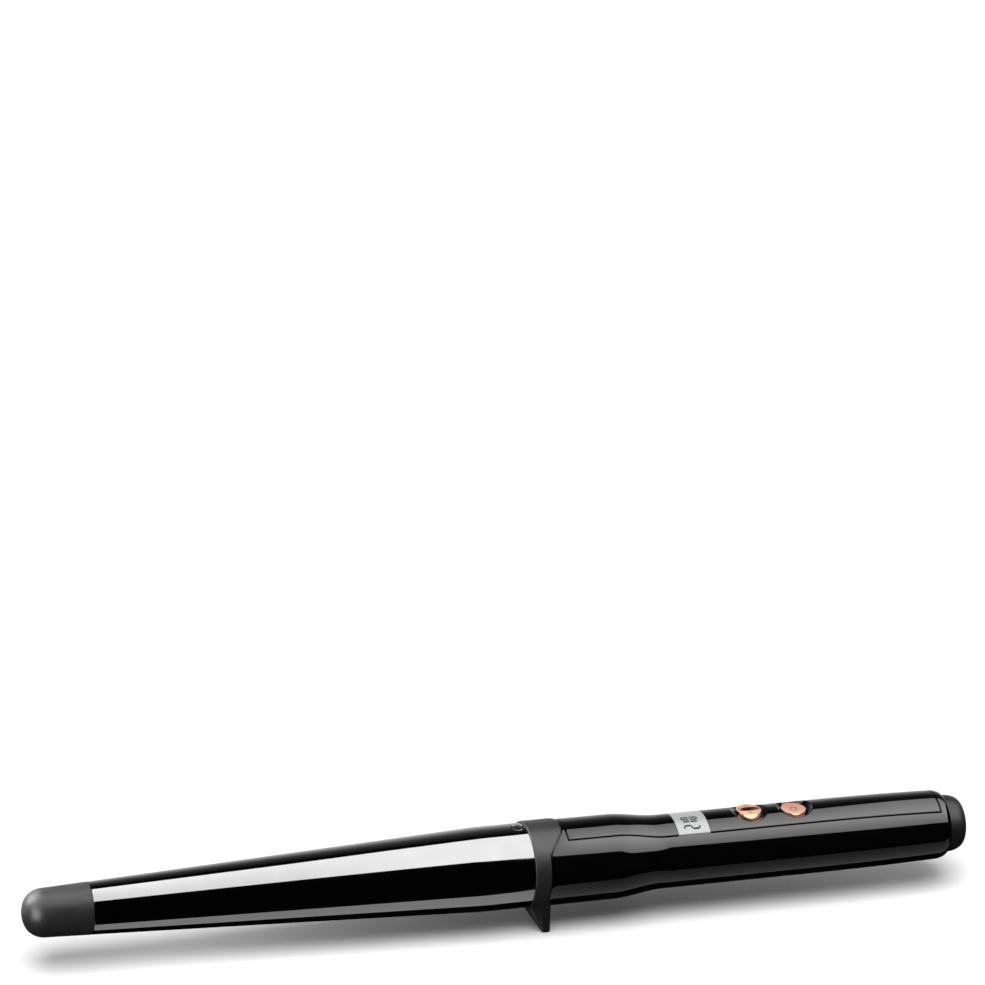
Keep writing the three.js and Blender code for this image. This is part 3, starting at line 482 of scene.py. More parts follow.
def make_screw(name, flip):
    """A screw with a cross in its head, whose seat is level with the barrel's inner wall."""
    outline = rounded(
        [
            (-SHANK_LENGTH, 0), (-SHANK_LENGTH, SHANK_R), (0, SHANK_R),
            (0, HEAD_R), (HEAD_H, HEAD_R), (HEAD_H, 0),
        ],
        {4: HEAD_ROUND},
    )
    seat = BARREL_R - BARREL_WALL
    place = at(SCREW_AT, z=flip * seat, flip=flip)
    screw = bare(name, upright(outline, 64), place)
    for turn in (CROSS_TURN, CROSS_TURN + math.pi / 2):
        slot = block((-CROSS_HALF_L, CROSS_HALF_L), (-CROSS_HALF_W, CROSS_HALF_W), (CROSS_FLOOR, 2 * HEAD_H))
        c, s = math.cos(turn), math.sin(turn)
        slot.points = [(c * x - s * y, s * x + c * y, z) for x, y, z in slot.points]
        combine(screw, bare("slot", slot, place))
    return screw


finish(make_screw("barrel_screw_head_top", 1), dark_steel, BODY, "steel", "barrel_screw_top")
finish(make_screw("barrel_screw_head_bottom", -1), dark_steel, BODY, "steel", "barrel_screw_bottom")


# ---- Guard: a ring with a long saddle on top and a V foot below ----
def make_ring():
    """The ring. Behind the step that the barrel's end meets, it is drawn out into the saddle."""
    bore, nose_bore = BARREL_R + GUARD_BORE_PLAY, NOSE_R + GUARD_NOSE_PLAY
    step = BARREL_REAR + GUARD_STEP_GAP
    outline = rounded(
        [
            (0, bore), (0, GUARD_R), (GUARD_SIDE_W, GUARD_R),
            (GUARD_SIDE_W, nose_bore), (step, nose_bore), (step, bore),
        ],
        {1: GUARD_FRONT_ROUND, 2: GUARD_REAR_ROUND},
    )
    skin = turned(outline, 192)
    for i, (s, y, z) in enumerate(skin.points):
        if s > step + 0.01:
            back = guard_width(math.atan2(y, z)) - GUARD_SIDE_W
            skin.points[i] = (s + back * smoothstep(s, step + SADDLE_RAMP[0], step + SADDLE_RAMP[1]), y, z)
    return bare("guard_shell", skin)


def foot_points():
    """The foot's corners: its root along the ring's lower half, its ankle and its flat end."""
    root_r = GUARD_R - FOOT_ROOT_SINK
    points = []
    for degrees in span(-90, 90, 60):
        angle = math.radians(degrees)
        y, z = root_r * math.sin(angle), -root_r * math.cos(angle)
        points += [(GUARD_SIDE_W - FOOT_ROOT_REAR, y, z), (GUARD_SIDE_W - FOOT_ROOT_FRONT, y, z)]
        if abs(degrees) <= FOOT_SHIN_DEGREES:
            points.append((FOOT_SHIN_FRONT, y, z))
    for s in (FOOT_FRONT, FOOT_REAR):
        for side in (-FOOT_HALF_FLAT, FOOT_HALF_FLAT):
            points += [(s, side, -FOOT_DROP), (s, side * FOOT_ANKLE_SPREAD, -FOOT_DROP + FOOT_ANKLE_H)]
    return points


def make_foot():
    """The hull of the foot's corners, with rounded edges, bored out for the handle."""
    foot = bmesh.new()
    for p in foot_points():
        foot.verts.new(along_wand(p))
    hull = bmesh.ops.convex_hull(foot, input=foot.verts)
    spare = {e for e in hull["geom_interior"] + hull["geom_unused"] if isinstance(e, bmesh.types.BMVert)}
    bmesh.ops.delete(foot, geom=sorted(spare, key=lambda v: v.index), context="VERTS")
    bmesh.ops.dissolve_limit(foot, angle_limit=math.radians(0.5), verts=foot.verts, edges=foot.edges)
    edges = [e for e in foot.edges if len(e.link_faces) == 2 and e.calc_face_angle() > math.radians(25)]
    bmesh.ops.bevel(
        foot, geom=edges, offset=FOOT_BEVEL * MM, segments=3, profile=0.5, affect="EDGES", clamp_overlap=True)
    bmesh.ops.recalc_face_normals(foot, faces=foot.faces)
    mesh = bpy.data.meshes.new("foot")
    foot.to_mesh(mesh)
    foot.free()
    bore_r = HANDLE_FRONT_R + FOOT_BORE_PLAY
    bore = bare("bore", turned([(-1, 0), (-1, bore_r), (ABOVE_ALL, bore_r), (ABOVE_ALL, 0)]))
    return combine(in_scene("foot", mesh), bore)


guard = finish(
    combine(make_ring(), make_foot(), "UNION"), soft_black, BODY, "soft_black", "guard", crease=28)


# ---- Handle shell, with the cover's pocket along its top ----
# (inset, drop) pairs round an edge, from the wall to the surface.
EDGE_STEPS = [(t * t * EDGE, (1 - t) ** 2 * EDGE) for t in span(0, 1, 4)]


def make_handle():
    wall = COVER_HALF_W + SEAM
    deep = COVER_T + POCKET_PLAY
    front, rear = COVER_FRONT - SEAM, COVER_REAR + SEAM

    def columns(s):
        """Round the section at a station: y and z on a unit circle, and the drop, or None in the pocket."""
        radius = handle_radius(min(max(s, front), rear))
        limit = math.asin((wall + EDGE) / radius)
        out = [(-math.sin(a), math.cos(a), 0.0) for a in span(limit, 2 * math.pi - limit, 150)]
        edge = EDGE_STEPS[:-1]
        pocket = [(wall + inset, drop) for inset, drop in reversed(edge)]
        pocket += [(y, None) for y in span(wall, -wall, 14)]
        pocket += [(-(wall + inset), drop) for inset, drop in edge]
        return out + [(y / radius, math.sqrt(1 - (y / radius) ** 2), drop) for y, drop in pocket]

    def row(s, sink, radius=None):
        """sink limits how deep the pocket may be at this row."""
        r = handle_radius(s) if radius is None else radius
        points = []
        for uy, uz, drop in columns(s):
            y, z = r * uy, r * uz
            floor_z = math.sqrt(max(0.01, (r - deep) ** 2 - y * y))
            target = floor_z if drop is None else z - drop
            points.append((s, y, max(target, z - sink) if uz > 0 else z))
        return points

    def edge_row(offset, radius):
        """A row that follows the guard's saddle, offset behind it."""
        points = []
        for uy, uz, _ in columns(front):
            s = guard_width(math.atan2(uy, uz)) + SADDLE_GAP + offset
            points.append((s, radius * uy, radius * uz))
        return points

    def blended_row(t):
        """Rows between the saddle's edge and the pocket's front wall."""
        points = []
        for uy, uz, _ in columns(front):
            start = guard_width(math.atan2(uy, uz)) + SADDLE_GAP + EDGE
            s = lerp(start, front - EDGE, t)
            r = handle_radius(s)
            points.append((s, r * uy, r * uz))
        return points

    rows = [row(NOSE_FRONT, 0, NOSE_R - NOSE_CHAMFER_R)]
    rows.append([(NOSE_FRONT + NOSE_CHAMFER_L, y, z) for _, y, z in row(NOSE_FRONT, 0, NOSE_R)])
    rows.append(edge_row(0, NOSE_R))
    shoulder_r = handle_radius(GUARD_TOP_W)
    for inset, drop in EDGE_STEPS:
        rows.append(edge_row(inset, shoulder_r - drop))
    rows += [blended_row(t) for t in span(0, 1, 6)[1:]]
    for inset, drop in reversed(EDGE_STEPS):
        rows.append(row(front - inset, drop))
    stations = span(front, NECK_FROM, 8) + span(NECK_FROM, NECK_TO, 26)[1:]
    stations += span(NECK_TO, TAPER_FROM, 12)[1:] + span(TAPER_FROM, rear, 30)[1:]
    rows += [row(s, FULL_SINK) for s in stations]
    for inset, drop in EDGE_STEPS:
        rows.append(row(rear + inset, drop))
    for t in span(0, math.pi / 2, 14)[1:]:
        rows.append(row(lerp(rear + EDGE, HANDLE_END, math.sin(t)), 0))
    grip_bore, neck_bore = GRIP_R - SHELL_T, HANDLE_NECK_R - SHELL_T
    bore = [
        (HANDLE_END, MOUTH_R), (MOUTH_FROM, MOUTH_R), (GRIP_BORE_TO, grip_bore),
        (NECK_TO - NECK_BORE_INSET, grip_bore), (NECK_FROM + NECK_BORE_INSET, neck_bore),
        (BULKHEAD_REAR, neck_bore), (BULKHEAD_REAR, BULKHEAD_HOLE_R),
        (BULKHEAD_FRONT, BULKHEAD_HOLE_R), (BULKHEAD_FRONT, neck_bore),
        (NOSE_FRONT, HANDLE_FRONT_R - SHELL_T),
    ]
    for s, r in bore:
        rows.append([(s, r * uy, r * uz) for uy, uz, _ in columns(front if s < NECK_TO else rear)])
    shell = bare("handle_shell", sweep(rows))
    opening = block(
        (COVER_FRONT + LEDGE_L, COVER_REAR - LEDGE_L),
        (-LEDGE_HALF_W, LEDGE_HALF_W),
        (OPENING_FLOOR, ABOVE_ALL),
    )
    return combine(shell, bare("opening", opening))


handle = finish(make_handle(), gloss_black, BODY, "gloss_black", "handle_body", crease=32)


# ---- Plates that follow the handle's surface ----
class Plate:
    """A plan of points with a top and a bottom height each, closed by walls along the plan's open edges."""

    def __init__(self):
        self.index = {}
        self.points = []
        self.faces = []

    def point(self, x, y, top, bottom):
        key = tuple(round(v, 5) for v in (x, y, top, bottom))
        if key not in self.index:
            self.index[key] = len(self.points)
            self.points.append((x, y, top, bottom))
        return self.index[key]

    def face(self, *corners):
        """Adds a face, less the corners that fall on the one before."""
        loop = [c for i, c in enumerate(corners) if c != corners[i - 1]]
        if len(set(loop)) > 2:
            self.faces.append(tuple(loop))

    def strip(self, a, b, closed=False):
        n = len(a)
        for i in range(n if closed else n - 1):
            j = (i + 1) % n
            self.face(a[i], a[j], b[j], b[i])

    def skin(self):
        skin = Skin()
        top = skin.ring([(x, y, t) for x, y, t, _ in self.points])
        low = skin.ring([(x, y, b) for x, y, _, b in self.points])
        used = {}
        for face in self.faces:
            skin.faces.append(tuple(top[i] for i in face))
            skin.faces.append(tuple(low[i] for i in reversed(face)))
            for i, a in enumerate(face):
                edge = (face[i - 1], a)
                used[frozenset(edge)] = None if frozenset(edge) in used else edge
        for edge in used.values():
            if edge:
                a, b = edge
                skin.faces.append((top[a], top[b], low[b], low[a]))
        return skin


def smooth_max(a, b, blend):
    h = max(0.0, blend - abs(a - b)) / blend
    return max(a, b) + h * h * blend / 4


def cover_underside(x, y):
    return surface_z(x, y, COVER_T)


def cover_lines(steps):
    """Lines across the cover, (station, drop at the edge, depth of the window's pocket), and the square of
    plan round each key, {(first line, last line): (centre, hole radius, depths of its hollow)}."""
    window_front, window_rear = WINDOW_FRONT - WINDOW_PLAY, WINDOW_REAR + WINDOW_PLAY
    pocket = WINDOW_T + WINDOW_PLAY
    front_end = span(COVER_FRONT + COVER_EDGE, NECK_FROM, 9)[1:] + span(NECK_FROM, NECK_TO, 26)[1:]
    lines = [(COVER_FRONT + inset, drop, 0.0) for inset, drop in steps]
    lines += [(x, 0.0, 0.0) for x in front_end + [window_front - WINDOW_LIP]]
    lines += [
        (window_front, WINDOW_LIP, 0.0), (window_front, 0.0, pocket), (WINDOW_MIDDLE, 0.0, pocket),
        (window_rear, 0.0, pocket), (window_rear, WINDOW_LIP, 0.0), (window_rear + WINDOW_LIP, 0.0, 0.0),
    ]
    squares = {}
    last = window_rear + WINDOW_LIP
    for centre, *hollow in ((ROCKER_AT, ROCKER_HOLE_R, ROCKER_DISH), (POWER_AT, POWER_HOLE_R, POWER_DISH)):
        start, end = centre - DISH_SQUARE_HALF, centre + DISH_SQUARE_HALF
        lines += [(x, 0.0, 0.0) for x in span(last, start, max(1, round((start - last) / 2)))[1:]]
        first = len(lines) - 1
        lines += [(x, 0.0, 0.0) for x in span(start, end, 24)[1:]]
        squares[(first, len(lines) - 1)] = (centre, *hollow)
        last = end
    rear_end = span(last, TAPER_FROM, 1)[1:] + span(TAPER_FROM, COVER_REAR - COVER_EDGE, 30)[1:]
    lines += [(x, 0.0, 0.0) for x in rear_end]
    lines += [(COVER_REAR - inset, drop, 0.0) for inset, drop in reversed(steps[:-1])]
    return lines, squares


def add_hollow(plate, square, centre, hole, depths):
    """Fills a square of the cover's plan with the rings of the hollow round a key, down to the key's hole."""

    def ring(radius_at, in_well, sink=0.0):
        out = []
        for k in square:
            px, py, _, _ = plate.points[k]
            angle = math.atan2(py, px - centre)
            r = radius_at(math.hypot(px - centre, py))
            x, y = centre + r * math.cos(angle), r * math.sin(angle)
            share = max(0.0, (r - hole) / (DISH_R - hole))
            hollow = lerp(*depths, math.sin(angle) ** 2) * (1 - share * share)
            top = surface_z(x, y) - smooth_max(hollow, 0.0, DISH_BLEND) - sink
            low = cover_underside(x, y)
            out.append(plate.point(x, y, top, min(low, WELL_FLOOR) if in_well else low))
        return out

    rim_end = DISH_R + DISH_RIM_STEPS[-1]
    rings = [square]
    rings += [ring(lambda r, t=t: lerp(r, WELL_R, t), False) for t in (0.34, 0.67, 1.0)]
    rings.append(ring(lambda r: WELL_R, True))
    rings += [ring(lambda r, t=t: DISH_R + t, True) for t in DISH_RIM_STEPS]
    rings += [ring(lambda r, t=t: lerp(rim_end, hole + HOLE_LIP, t), True) for t in span(0, 1, 6)[1:]]
    rings.append(ring(lambda r: hole, True, HOLE_LIP))
    for a, b in zip(rings, rings[1:]):
        plate.strip(a, b, closed=True)


def make_cover():
    """The strip in the handle's pocket, with a pocket for the window and a hollow round each key."""
    plate = Plate()
    half = DISH_SQUARE_HALF
    steps = [(inset * COVER_EDGE / EDGE, drop * COVER_EDGE / EDGE) for inset, drop in EDGE_STEPS]
    side = [(y, 0.0) for y in span(0, half, 12)[1:]]
    side += [(COVER_HALF_W - inset, drop) for inset, drop in reversed(steps)]
    ys = [(-y, drop) for y, drop in reversed(side)] + [(0.0, 0.0)] + side
    lines, squares = cover_lines(steps)

    def node(line, cross):
        (x, drop_x, sunk), (y, drop_y) = line, cross
        top = surface_z(x, y, sunk) - (0.0 if sunk else max(drop_x, drop_y))
        return plate.point(x, y, top, cover_underside(x, y))

    grid = [[node(line, cross) for cross in ys] for line in lines]
    for i in range(len(lines) - 1):
        in_square = any(first <= i < final for first, final in squares)
        for j in range(len(ys) - 1):
            if in_square and abs(ys[j][0] + ys[j + 1][0]) / 2 < half:
                continue
            plate.face(grid[i][j], grid[i][j + 1], grid[i + 1][j + 1], grid[i + 1][j])

    low_j = next(j for j, (y, _) in enumerate(ys) if abs(y + half) < 1e-6)
    high_j = next(j for j, (y, _) in enumerate(ys) if abs(y - half) < 1e-6)
    for (first, final), (centre, hole, depths) in squares.items():
        square = [grid[i][low_j] for i in range(first, final)]
        square += [grid[final][j] for j in range(low_j, high_j)]
        square += [grid[i][high_j] for i in range(final, first, -1)]
        square += [grid[first][j] for j in range(high_j, low_j, -1)]
        add_hollow(plate, square, centre, hole, depths)
    cover = bare("cover_shell", plate.skin())
    aperture = block(
        (WINDOW_FRONT + APERTURE_INSET, WINDOW_REAR - APERTURE_INSET),
        (-LEDGE_HALF_W, LEDGE_HALF_W),
        (0, ABOVE_ALL),
    )
    return combine(cover, bare("aperture", aperture))


cover = finish(make_cover(), gloss_black, BODY, "gloss_black", "top_cover", crease=32)


# ---- Display window and its digits ----
def lens_lines(low, high, count):
    """(place, drop) pairs across the lens, from one rounded edge to the other."""
    flat = [(place, 0.0) for place in span(low + LENS_FLAT_INSET, high - LENS_FLAT_INSET, count)]
    first = [(low + inset, drop) for inset, drop in LENS_EDGE]
    return first + flat + [(high - inset, drop) for inset, drop in reversed(LENS_EDGE)]


def make_window():
    plate = Plate()
    grid = [
        [
            plate.point(x, y, surface_z(x, y) - max(drop_x, drop_y), surface_z(x, y, WINDOW_T))
            for y, drop_y in lens_lines(-COVER_HALF_W, COVER_HALF_W, 36)
        ]
        for x, drop_x in lens_lines(WINDOW_FRONT, WINDOW_REAR, 10)
    ]
    for a, b in zip(grid, grid[1:]):
        plate.strip(a, b)
    return bare("display_lens_panel", plate.skin())


finish(make_window(), lens, BODY, "display_lens", "display_window")


def ribbon(path, top, low):
    """A thin strip along a path of (point, vector to its side), between two heights over each point."""
    plate = Plate()
    rows = [
        [plate.point(p.x, p.y, top(p.x, p.y), low(p.x, p.y)) for p in (middle + aside, middle - aside)]
        for middle, aside in path
    ]
    for a, b in zip(rows, rows[1:]):
        plate.strip(a, b)
    return plate.skin()


# Seven segments of a digit: (start, end) as (across, up) in units of the digit's width and half height.
SEGMENTS = {
    "a": ((0, 2), (1, 2)), "b": ((1, 1), (1, 2)), "c": ((1, 0), (1, 1)), "d": ((0, 0), (1, 0)),
    "e": ((0, 0), (0, 1)), "f": ((0, 1), (0, 2)), "g": ((0, 1), (1, 1)),
}
DIGITS = [("abged", -7.55), ("bc", -5.6), ("abcdef", -3.05)]  # (lit segments, left edge)


def make_digits():
    """Each lit segment is a bar with pointed ends."""
    skin = Skin()
    for segments, left in DIGITS:
        for key in segments:
            start, end = [
                Vector((DIGIT_FOOT - up * DIGIT_HALF_H, left + across * DIGIT_W))
                for across, up in SEGMENTS[key]
            ]
            length = (end - start).length
            along = (end - start).normalized()
            aside = Vector((-along.y, along.x)) * STROKE / 2
            inset = STROKE / 2 + DIGIT_SHOULDER
            middle = [(t, 1) for t in span(inset, length - inset, 5)]
            places = [(DIGIT_TAPER, 0), *middle, (length - DIGIT_TAPER, 0)]
            skin.add(ribbon(
                [(start + along * t, aside * width) for t, width in places],
                lambda x, y: surface_z(x, y, -DIGIT_PROUD),
                lambda x, y: surface_z(x, y, DIGIT_DEPTH),
            ))
    return bare("display_digits", skin)


finish(make_digits(), ink, BODY, "component")


# ---- Keys ----
def rocker_height(x, y):
    """The rocker's face: level at the back, a slope down to a crease, and a lower half in front."""
    reach = ROCKER_R - FACE_INSET
    width = math.sqrt(max(0.0, 1 - (x / reach) ** 2))
    if y >= 0:
        return ROCKER_TOP - VALLEY_DEPTH * max(0.0, width - y / VALLEY_REACH)
    share = min(1.0, -y / (reach * width + 1e-9))
    return ROCKER_TOP - lerp(VALLEY_DEPTH, NEAR_DEPTH, share) * width


def power_height(x, y):
    """The power key's face: a shallow dimple."""
    reach = POWER_R - FACE_INSET
    return POWER_TOP - POWER_DIMPLE * max(0.0, 1 - (x * x + y * y) / (reach * reach))


def make_key(name, centre, radius, foot, height, skirt_shape):
    """A round key with a rounded rim and a slightly tapered skirt."""
    turns = [(math.cos(a), math.sin(a)) for a in (2 * math.pi * k / 128 for k in range(128))]
    reach = radius - FACE_INSET
    flare, wall = skirt_shape
    loops = [[(r * c, r * s, height(r * c, r * s)) for c, s in turns] for r in span(0, reach, 18)]
    rim = [z for _, _, z in loops[-1]]
    skirt = [
        (reach + (FACE_INSET - flare) * math.sin(t), RIM_DROP * (1 - math.cos(t)))
        for t in span(0, RIM_TURN, 7)[1:]
    ]
    for r, drop in skirt + [(radius, wall)]:
        loops.append([(r * c, r * s, z - drop) for (c, s), z in zip(turns, rim)])
    for r in (radius, 0.0):
        loops.append([(r * c, r * s, foot) for c, s in turns])
    return bare(name, sweep(loops, closed=False), at(centre))


def inlay(name, centre, strokes, height, body):
    """Thin strokes laid into a key's face. Each is a list of (x, y) points and a width."""
    skin = Skin()
    for points, width in strokes:
        path = []
        for i, p in enumerate(points):
            ahead = Vector(points[min(i + 1, len(points) - 1)]) - Vector(points[max(i - 1, 0)])
            path.append((Vector(p), Vector((-ahead.y, ahead.x)).normalized() * width / 2))
        skin.add(ribbon(path, lambda x, y: height(x, y) + MARK_PROUD, lambda x, y: height(x, y) - MARK_DEPTH))
    finish(bare(name, skin, at(centre)), engraving, body, "rose_gold")


def stroke(a, b, width=MARK_W):
    return [(lerp(a[0], b[0], t), lerp(a[1], b[1], t)) for t in span(0, 1, 4)], width


def make_rocker():
    key = make_key("rocker_key", ROCKER_AT, ROCKER_R, ROCKER_FOOT, rocker_height, ROCKER_SKIRT)
    half, bore = ROCKER_PIN_HALF_L, ROCKER_PIN_BORE_R
    pin_hole = turned([(-half, 0), (-half, bore), (half, bore), (half, 0)], 24)
    return combine(key, bare("pin_hole", pin_hole, at(ROCKER_AT, z=ROCKER_PIN_Z)))


rocker = make_rocker()
finish(rocker, rose_gold, "temperature_rocker", "rose_gold", "temperature_rocker", crease=40)
plus = [stroke((-0.8, -1.7), (0.8, -1.7)), stroke((0, -2.45), (0, -1.75)), stroke((0, -1.65), (0, -0.95))]
inlay("rocker_plus", ROCKER_AT, plus, rocker_height, "temperature_rocker")
inlay("rocker_minus", ROCKER_AT, [stroke((-0.8, 3.3), (0.8, 3.3))], rocker_height, "temperature_rocker")

power = make_key("power_key", POWER_AT, POWER_R, POWER_FOOT, power_height, POWER_SKIRT)
finish(power, rose_gold, "power_button", "rose_gold", "power_button", crease=40)
arc = [
    (POWER_MARK_R * math.cos(a), POWER_MARK_R * math.sin(a))
    for a in span(-POWER_MARK_TURN, POWER_MARK_TURN, 28)
]
power_mark = [(arc, POWER_MARK_W), stroke((-1.75, 0), (-0.45, 0), POWER_MARK_W)]
inlay("power_mark", POWER_AT, power_mark, power_height, "power_button")


# ---- End cap and swivel cord bush ----
def make_end_cap():
    """A plug with a rounded rim, and a hole for the bush's neck."""
    rim = [
        (CAP_END - CAP_ROUND + CAP_ROUND * math.sin(u), CAP_FLAT_R + (CAP_R - CAP_FLAT_R) * math.cos(u))
        for u in span(0, math.pi / 2, 22)
    ]
    shoulder, bore = HANDLE_END + CAP_PLAY, SWIVEL_R + CAP_PLAY
    head = [(CAP_FRONT, CAP_NECK_BORE_R), (CAP_FRONT, CAP_NECK_R), (shoulder, CAP_NECK_R), (shoulder, CAP_R)]
    tail = [(CAP_END, bore), (CAP_FLANGE, bore), (CAP_FLANGE, CAP_NECK_BORE_R)]
    outline = rounded(head + rim + tail, {3: CAP_SHOULDER_ROUND, len(head) + len(rim): CAP_MOUTH_ROUND})
    return bare("end_cap_shell", turned(outline))


# The end cap takes the painted-shade copy of soft_black.
finish(make_end_cap(), shaded_cap_black, BODY, "soft_black", "end_cap", crease=35)


def make_swivel():
    """The bush's spindle, its flange inside the cap and its neck with the open hole for the cord."""
    mouth = CAP_END - SWIVEL_SET_BACK
    outline = [
        (SPINDLE_FRONT, 0), (SPINDLE_FRONT, SPINDLE_R), (SWIVEL_FLANGE_FROM, SPINDLE_R),
        (SWIVEL_FLANGE_FROM, SWIVEL_FLANGE_R), (SWIVEL_FLANGE_TO, SWIVEL_FLANGE_R),
        (SWIVEL_FLANGE_TO, SWIVEL_R), (mouth, SWIVEL_R), (mouth, CORD_R),
        (CORD_HOLE_FLOOR, CORD_R), (CORD_HOLE_FLOOR, 0),
    ]
    return bare("swivel_bush", turned(rounded(outline, {6: SWIVEL_RIM_ROUND, 7: SWIVEL_MOUTH_ROUND}), 96))


# The cord bush takes the painted-shade copy of soft_black too.
finish(make_swivel(), shaded_cap_black, "cord_swivel", "soft_black", "cord_swivel", crease=35)


# ---- Finishes for the CAD parts, by the record's material slots ----
for part in frame["record"]["subparts"]:
    mesh = frame["nodes"][part["node"]].data
    mesh.materials.clear()
    mesh.materials.append(FINISHES[part["material_slot"]])


# ---- Studio, in metres ----
ARCH_R = 0.6


def linked_only(light, objects, state):
    """Lets the light reach only these objects (INCLUDE), or every object but these (EXCLUDE)."""
    group = bpy.data.collections.new(light.name + "_receivers")
    for obj in objects:
        group.objects.link(obj)
    for entry in group.collection_objects:
        entry.light_linking.link_state = state
    light.light_linking.receiver_collection = group


def make_floor():
    half = 30.0
    corners = [(-half, -half, 0), (half, -half, 0), (half, half, 0), (-half, half, 0)]
    mesh = bpy.data.meshes.new("floor")
    mesh.from_pydata(corners, [], [(0, 1, 2, 3)])
    floor = in_scene("floor", mesh)
    paper = surface("floor_paper", (0.9, 0.9, 0.9), 0.9, mottle=0.004, grain=3, bump=0.002, specular=0.0)
    mesh.materials.append(paper)
    floor.visible_glossy = False
    return floor


floor = make_floor()


def glow_material(name, sampled):
    """Emits as strongly as the mesh's glow attribute says. Only a sampled one is a light to Cycles."""
    material = bpy.data.materials.new(name)
    material.use_nodes = True
    nodes, links = material.node_tree.nodes, material.node_tree.links
    nodes.clear()
    out = nodes.new("ShaderNodeOutputMaterial")
    emission = nodes.new("ShaderNodeEmission")
    level = nodes.new("ShaderNodeAttribute")
    level.attribute_name = "glow"
    links.new(level.outputs["Fac"], emission.inputs["Strength"])
    links.new(emission.outputs["Emission"], out.inputs["Surface"])
    if not sampled:
        material.cycles.emission_sampling = "NONE"
    return material


def arch(name, columns, sampled):
    """A curved light panel round the wand's axis, seen only in reflections and as light. Each column is
    (x, stops), and each stop (degrees up from the front horizon, brightness)."""
    points, glow, faces = [], [], []
    count = len(columns[0][1])
    for x, stops in columns:
        for degrees, level in stops:
            a = math.radians(degrees)
            points.append((x, -ARCH_R * math.cos(a), AXIS_Z + ARCH_R * math.sin(a)))
            glow.append(level)
    for i in range(len(columns) - 1):
        for j in range(count - 1):
            a = i * count + j
            faces.append((a, a + 1, a + count + 1, a + count))
    mesh = bpy.data.meshes.new(name)
    mesh.from_pydata(points, [], faces)
    levels = mesh.attributes.new("glow", "FLOAT", "POINT")
    levels.data.foreach_set("value", glow)
    mesh.materials.append(glow_material(name, sampled))
    panel = in_scene(name, mesh)
    panel.visible_camera = False
    panel.visible_shadow = False
    return panel


def fine(stops, count=24):
    """The stops resampled evenly, so that brightness varies smoothly over the panel."""
    out = []
    for degrees in span(stops[0][0], stops[-1][0], count):
        for (d0, l0), (d1, l1) in zip(stops, stops[1:]):
            if d0 <= degrees <= d1 + 1e-9:
                out.append((degrees, lerp(l0, l1, (degrees - d0) / (d1 - d0))))
                break
    return out


def band(low, high, level_low, level_inside, level_high):
    inside = lerp(low, high, 0.45)
    return fine([(low, level_low), (inside, level_inside), (high, level_high)])


# Columns of the panel over the wand: (x, lower edge, upper edge, brightness at the lower edge, inside
# and at the upper edge). The edges move with x to place the bright bands on the barrel and handle.
KEY_COLUMNS = [
    (-2.6, 53.5, 111, 2.4, 2.7, 3.4),
    (-0.11, 51.8, 111.8, 2.4, 2.7, 3.4),
    (0.007, 49.7, 112, 2.6, 2.8, 3.2),
    (0.061, 48, 114.8, 3.1, 3.1, 3.1),
    (0.164, 44.3, 116.1, 3.1, 3.1, 3.1),
    (0.182, 41, 117.5, 3.1, 3.3, 3.0),
    (0.2, 39.5, 117.8, 2.9, 5.6, 2.2),
    (0.283, 33.5, 118.2, 2.9, 5.8, 2.1),
    (0.341, 31, 119, 2.9, 6.0, 2.2),
    (0.396, 29.5, 124, 2.9, 6.0, 2.4),
    (0.9, 29, 124, 2.9, 6.0, 2.4),
]
# Columns of the panel below: (x, lower edge, upper edge, brightness at each).
LOW_COLUMNS = [
    (-2.6, -89, -54.4, 0.63, 0.63),
    (-0.11, -89, -54, 0.63, 0.63),
    (0.164, -88.6, -49, 0.63, 0.63),
    (0.186, -88, -41, 0.5, 0.4),
    (0.217, -87.7, -39.6, 0.48, 0.24),
    (0.37, -87.5, -36.9, 0.48, 0.24),
    (0.9, -87.5, -36, 0.48, 0.24),
]
# The panel behind is the same all along, and brighter the lower it reaches.
BACK_STOPS = [
    (124, 0.01), (133, 0.04), (143, 0.09), (148, 0.14), (154, 0.24), (160, 0.38), (167, 0.56), (176, 0.72),
    (205, 0.8),
]
key_panel = arch("key_panel", [(x, band(*stops)) for x, *stops in KEY_COLUMNS], True)
low_panel = arch(
    "low_panel", [(x, fine([(low, a), (high, b)])) for x, low, high, a, b in LOW_COLUMNS], False)
back_panel = arch("back_panel", [(x, fine(BACK_STOPS, 60)) for x in (-2.6, 1.6)], False)
linked_only(key_panel, [floor], "EXCLUDE")
linked_only(low_panel, [barrel, handle, cover], "INCLUDE")
linked_only(back_panel, [floor], "EXCLUDE")


def softbox(name, place, aim, size, radiance, receivers):
    """A rectangular light that only reaches the receivers."""
    data = bpy.data.lights.new(name, "AREA")
    data.shape = "RECTANGLE"
    data.size, data.size_y = size
    data.energy = radiance * math.pi * size[0] * size[1]
    light = in_scene(name, data)
    light.location = place
    light.rotation_mode = "QUATERNION"
    light.rotation_quaternion = (Vector(aim) - Vector(place)).to_track_quat("-Z", "Y")
    light.visible_camera = False
    linked_only(light, receivers, "INCLUDE")


KEYS = (0.09, 0, 0.043)
TIP = (-0.2035, 0, 0.035)
softbox("keys_behind", (0.2, 0.5, 0.16), KEYS, (1.2, 0.72), 0.64, [rocker, power])
softbox("keys_front", (0.1, -0.3, 0.07), KEYS, (1.2, 0.24), 2.3, [rocker, power])
softbox("tip_high", (-0.55, 0.5, 0.45), TIP, (0.62, 0.62), 16.5, [tip, guard])
softbox("tip_low", (-0.76, -0.4, 0.16), TIP, (0.6, 0.55), 8, [tip, guard])

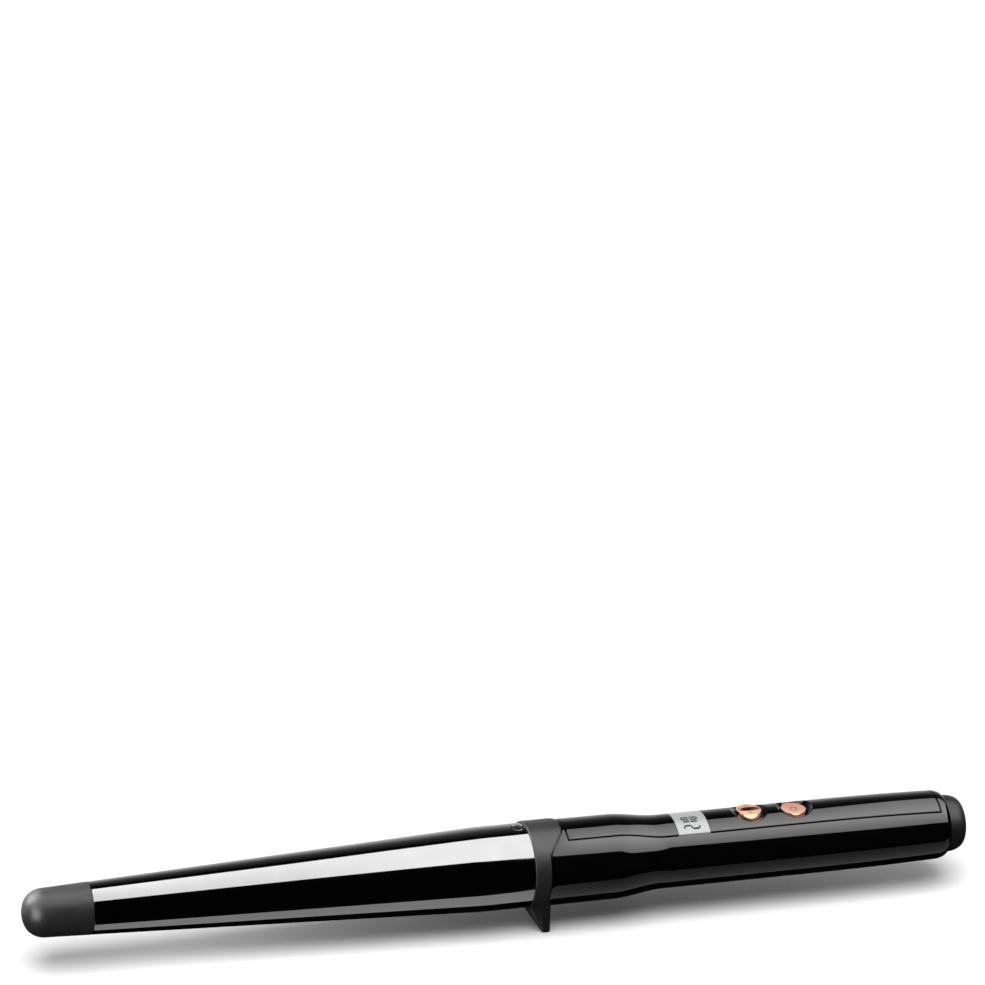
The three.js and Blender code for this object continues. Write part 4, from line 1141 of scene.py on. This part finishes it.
# The floor's own lights. Suns: (name, energy, then in degrees the angle across, the tilt towards the
# viewer and the turn about the vertical). Fills, which cast no shadow: (name, place, watts).
SUNS = [("floor_wide", 2.6, 75, 27, -35), ("floor_narrow", 3.4, 32, 36, -20)]
FILLS = [("floor_fill_barrel", (-0.15, 0.03, 0.07), 0.055), ("floor_fill_cap", (0.18, 0.03, 0.07), 0.03)]
for name, energy, across, tilt, turn in SUNS:
    data = bpy.data.lights.new(name, "SUN")
    data.energy = energy
    data.angle = math.radians(across)
    sun = in_scene(name, data)
    sun.rotation_euler = (math.radians(tilt), 0, math.radians(turn))
    linked_only(sun, [floor], "INCLUDE")
for name, place, watts in FILLS:
    data = bpy.data.lights.new(name, "POINT")
    data.energy = watts
    data.use_shadow = False
    fill = in_scene(name, data)
    fill.location = place
    linked_only(fill, [floor], "INCLUDE")


def make_world():
    """White to the camera, nearly black in reflections, and faint as light."""
    world = bpy.data.worlds.new("studio")
    world.use_nodes = True
    nodes, links = world.node_tree.nodes, world.node_tree.links
    nodes.clear()
    out = nodes.new("ShaderNodeOutputWorld")
    ray = nodes.new("ShaderNodeLightPath")

    def backdrop(level):
        node = nodes.new("ShaderNodeBackground")
        node.inputs["Color"].default_value = (1, 1, 1, 1)
        node.inputs["Strength"].default_value = level
        return node.outputs["Background"]

    def choose(factor, off, on):
        node = nodes.new("ShaderNodeMixShader")
        links.new(factor, node.inputs[0])
        links.new(off, node.inputs[1])
        links.new(on, node.inputs[2])
        return node.outputs["Shader"]

    unseen = choose(ray.outputs["Is Glossy Ray"], backdrop(0.02), backdrop(0.003))
    links.new(choose(ray.outputs["Is Camera Ray"], unseen, backdrop(1.0)), out.inputs["Surface"])
    return world


bpy.context.scene.world = make_world()

# ---- Camera ----
AIM = Vector((-0.0299, 0.0, 0.1850))
DISTANCE, LENS, SENSOR = 1.67344, 164.47, 36  # metres, then millimetres
AZIMUTH, ELEVATION, ROLL = math.radians(-18.58), math.radians(20.98), math.radians(2.673)


def make_camera():
    data = bpy.data.cameras.new("camera")
    data.lens, data.sensor_width = LENS, SENSOR
    camera = in_scene("camera", data)
    level = math.cos(ELEVATION)
    towards = Vector((math.sin(AZIMUTH) * level, -math.cos(AZIMUTH) * level, math.sin(ELEVATION)))
    camera.location = AIM + towards * DISTANCE
    camera.rotation_mode = "QUATERNION"
    camera.rotation_quaternion = (-towards).to_track_quat("-Z", "Y") @ Quaternion((0, 0, 1), ROLL)
    return camera


bpy.context.scene.camera = make_camera()
bpy.context.scene.view_settings.view_transform = "Standard"
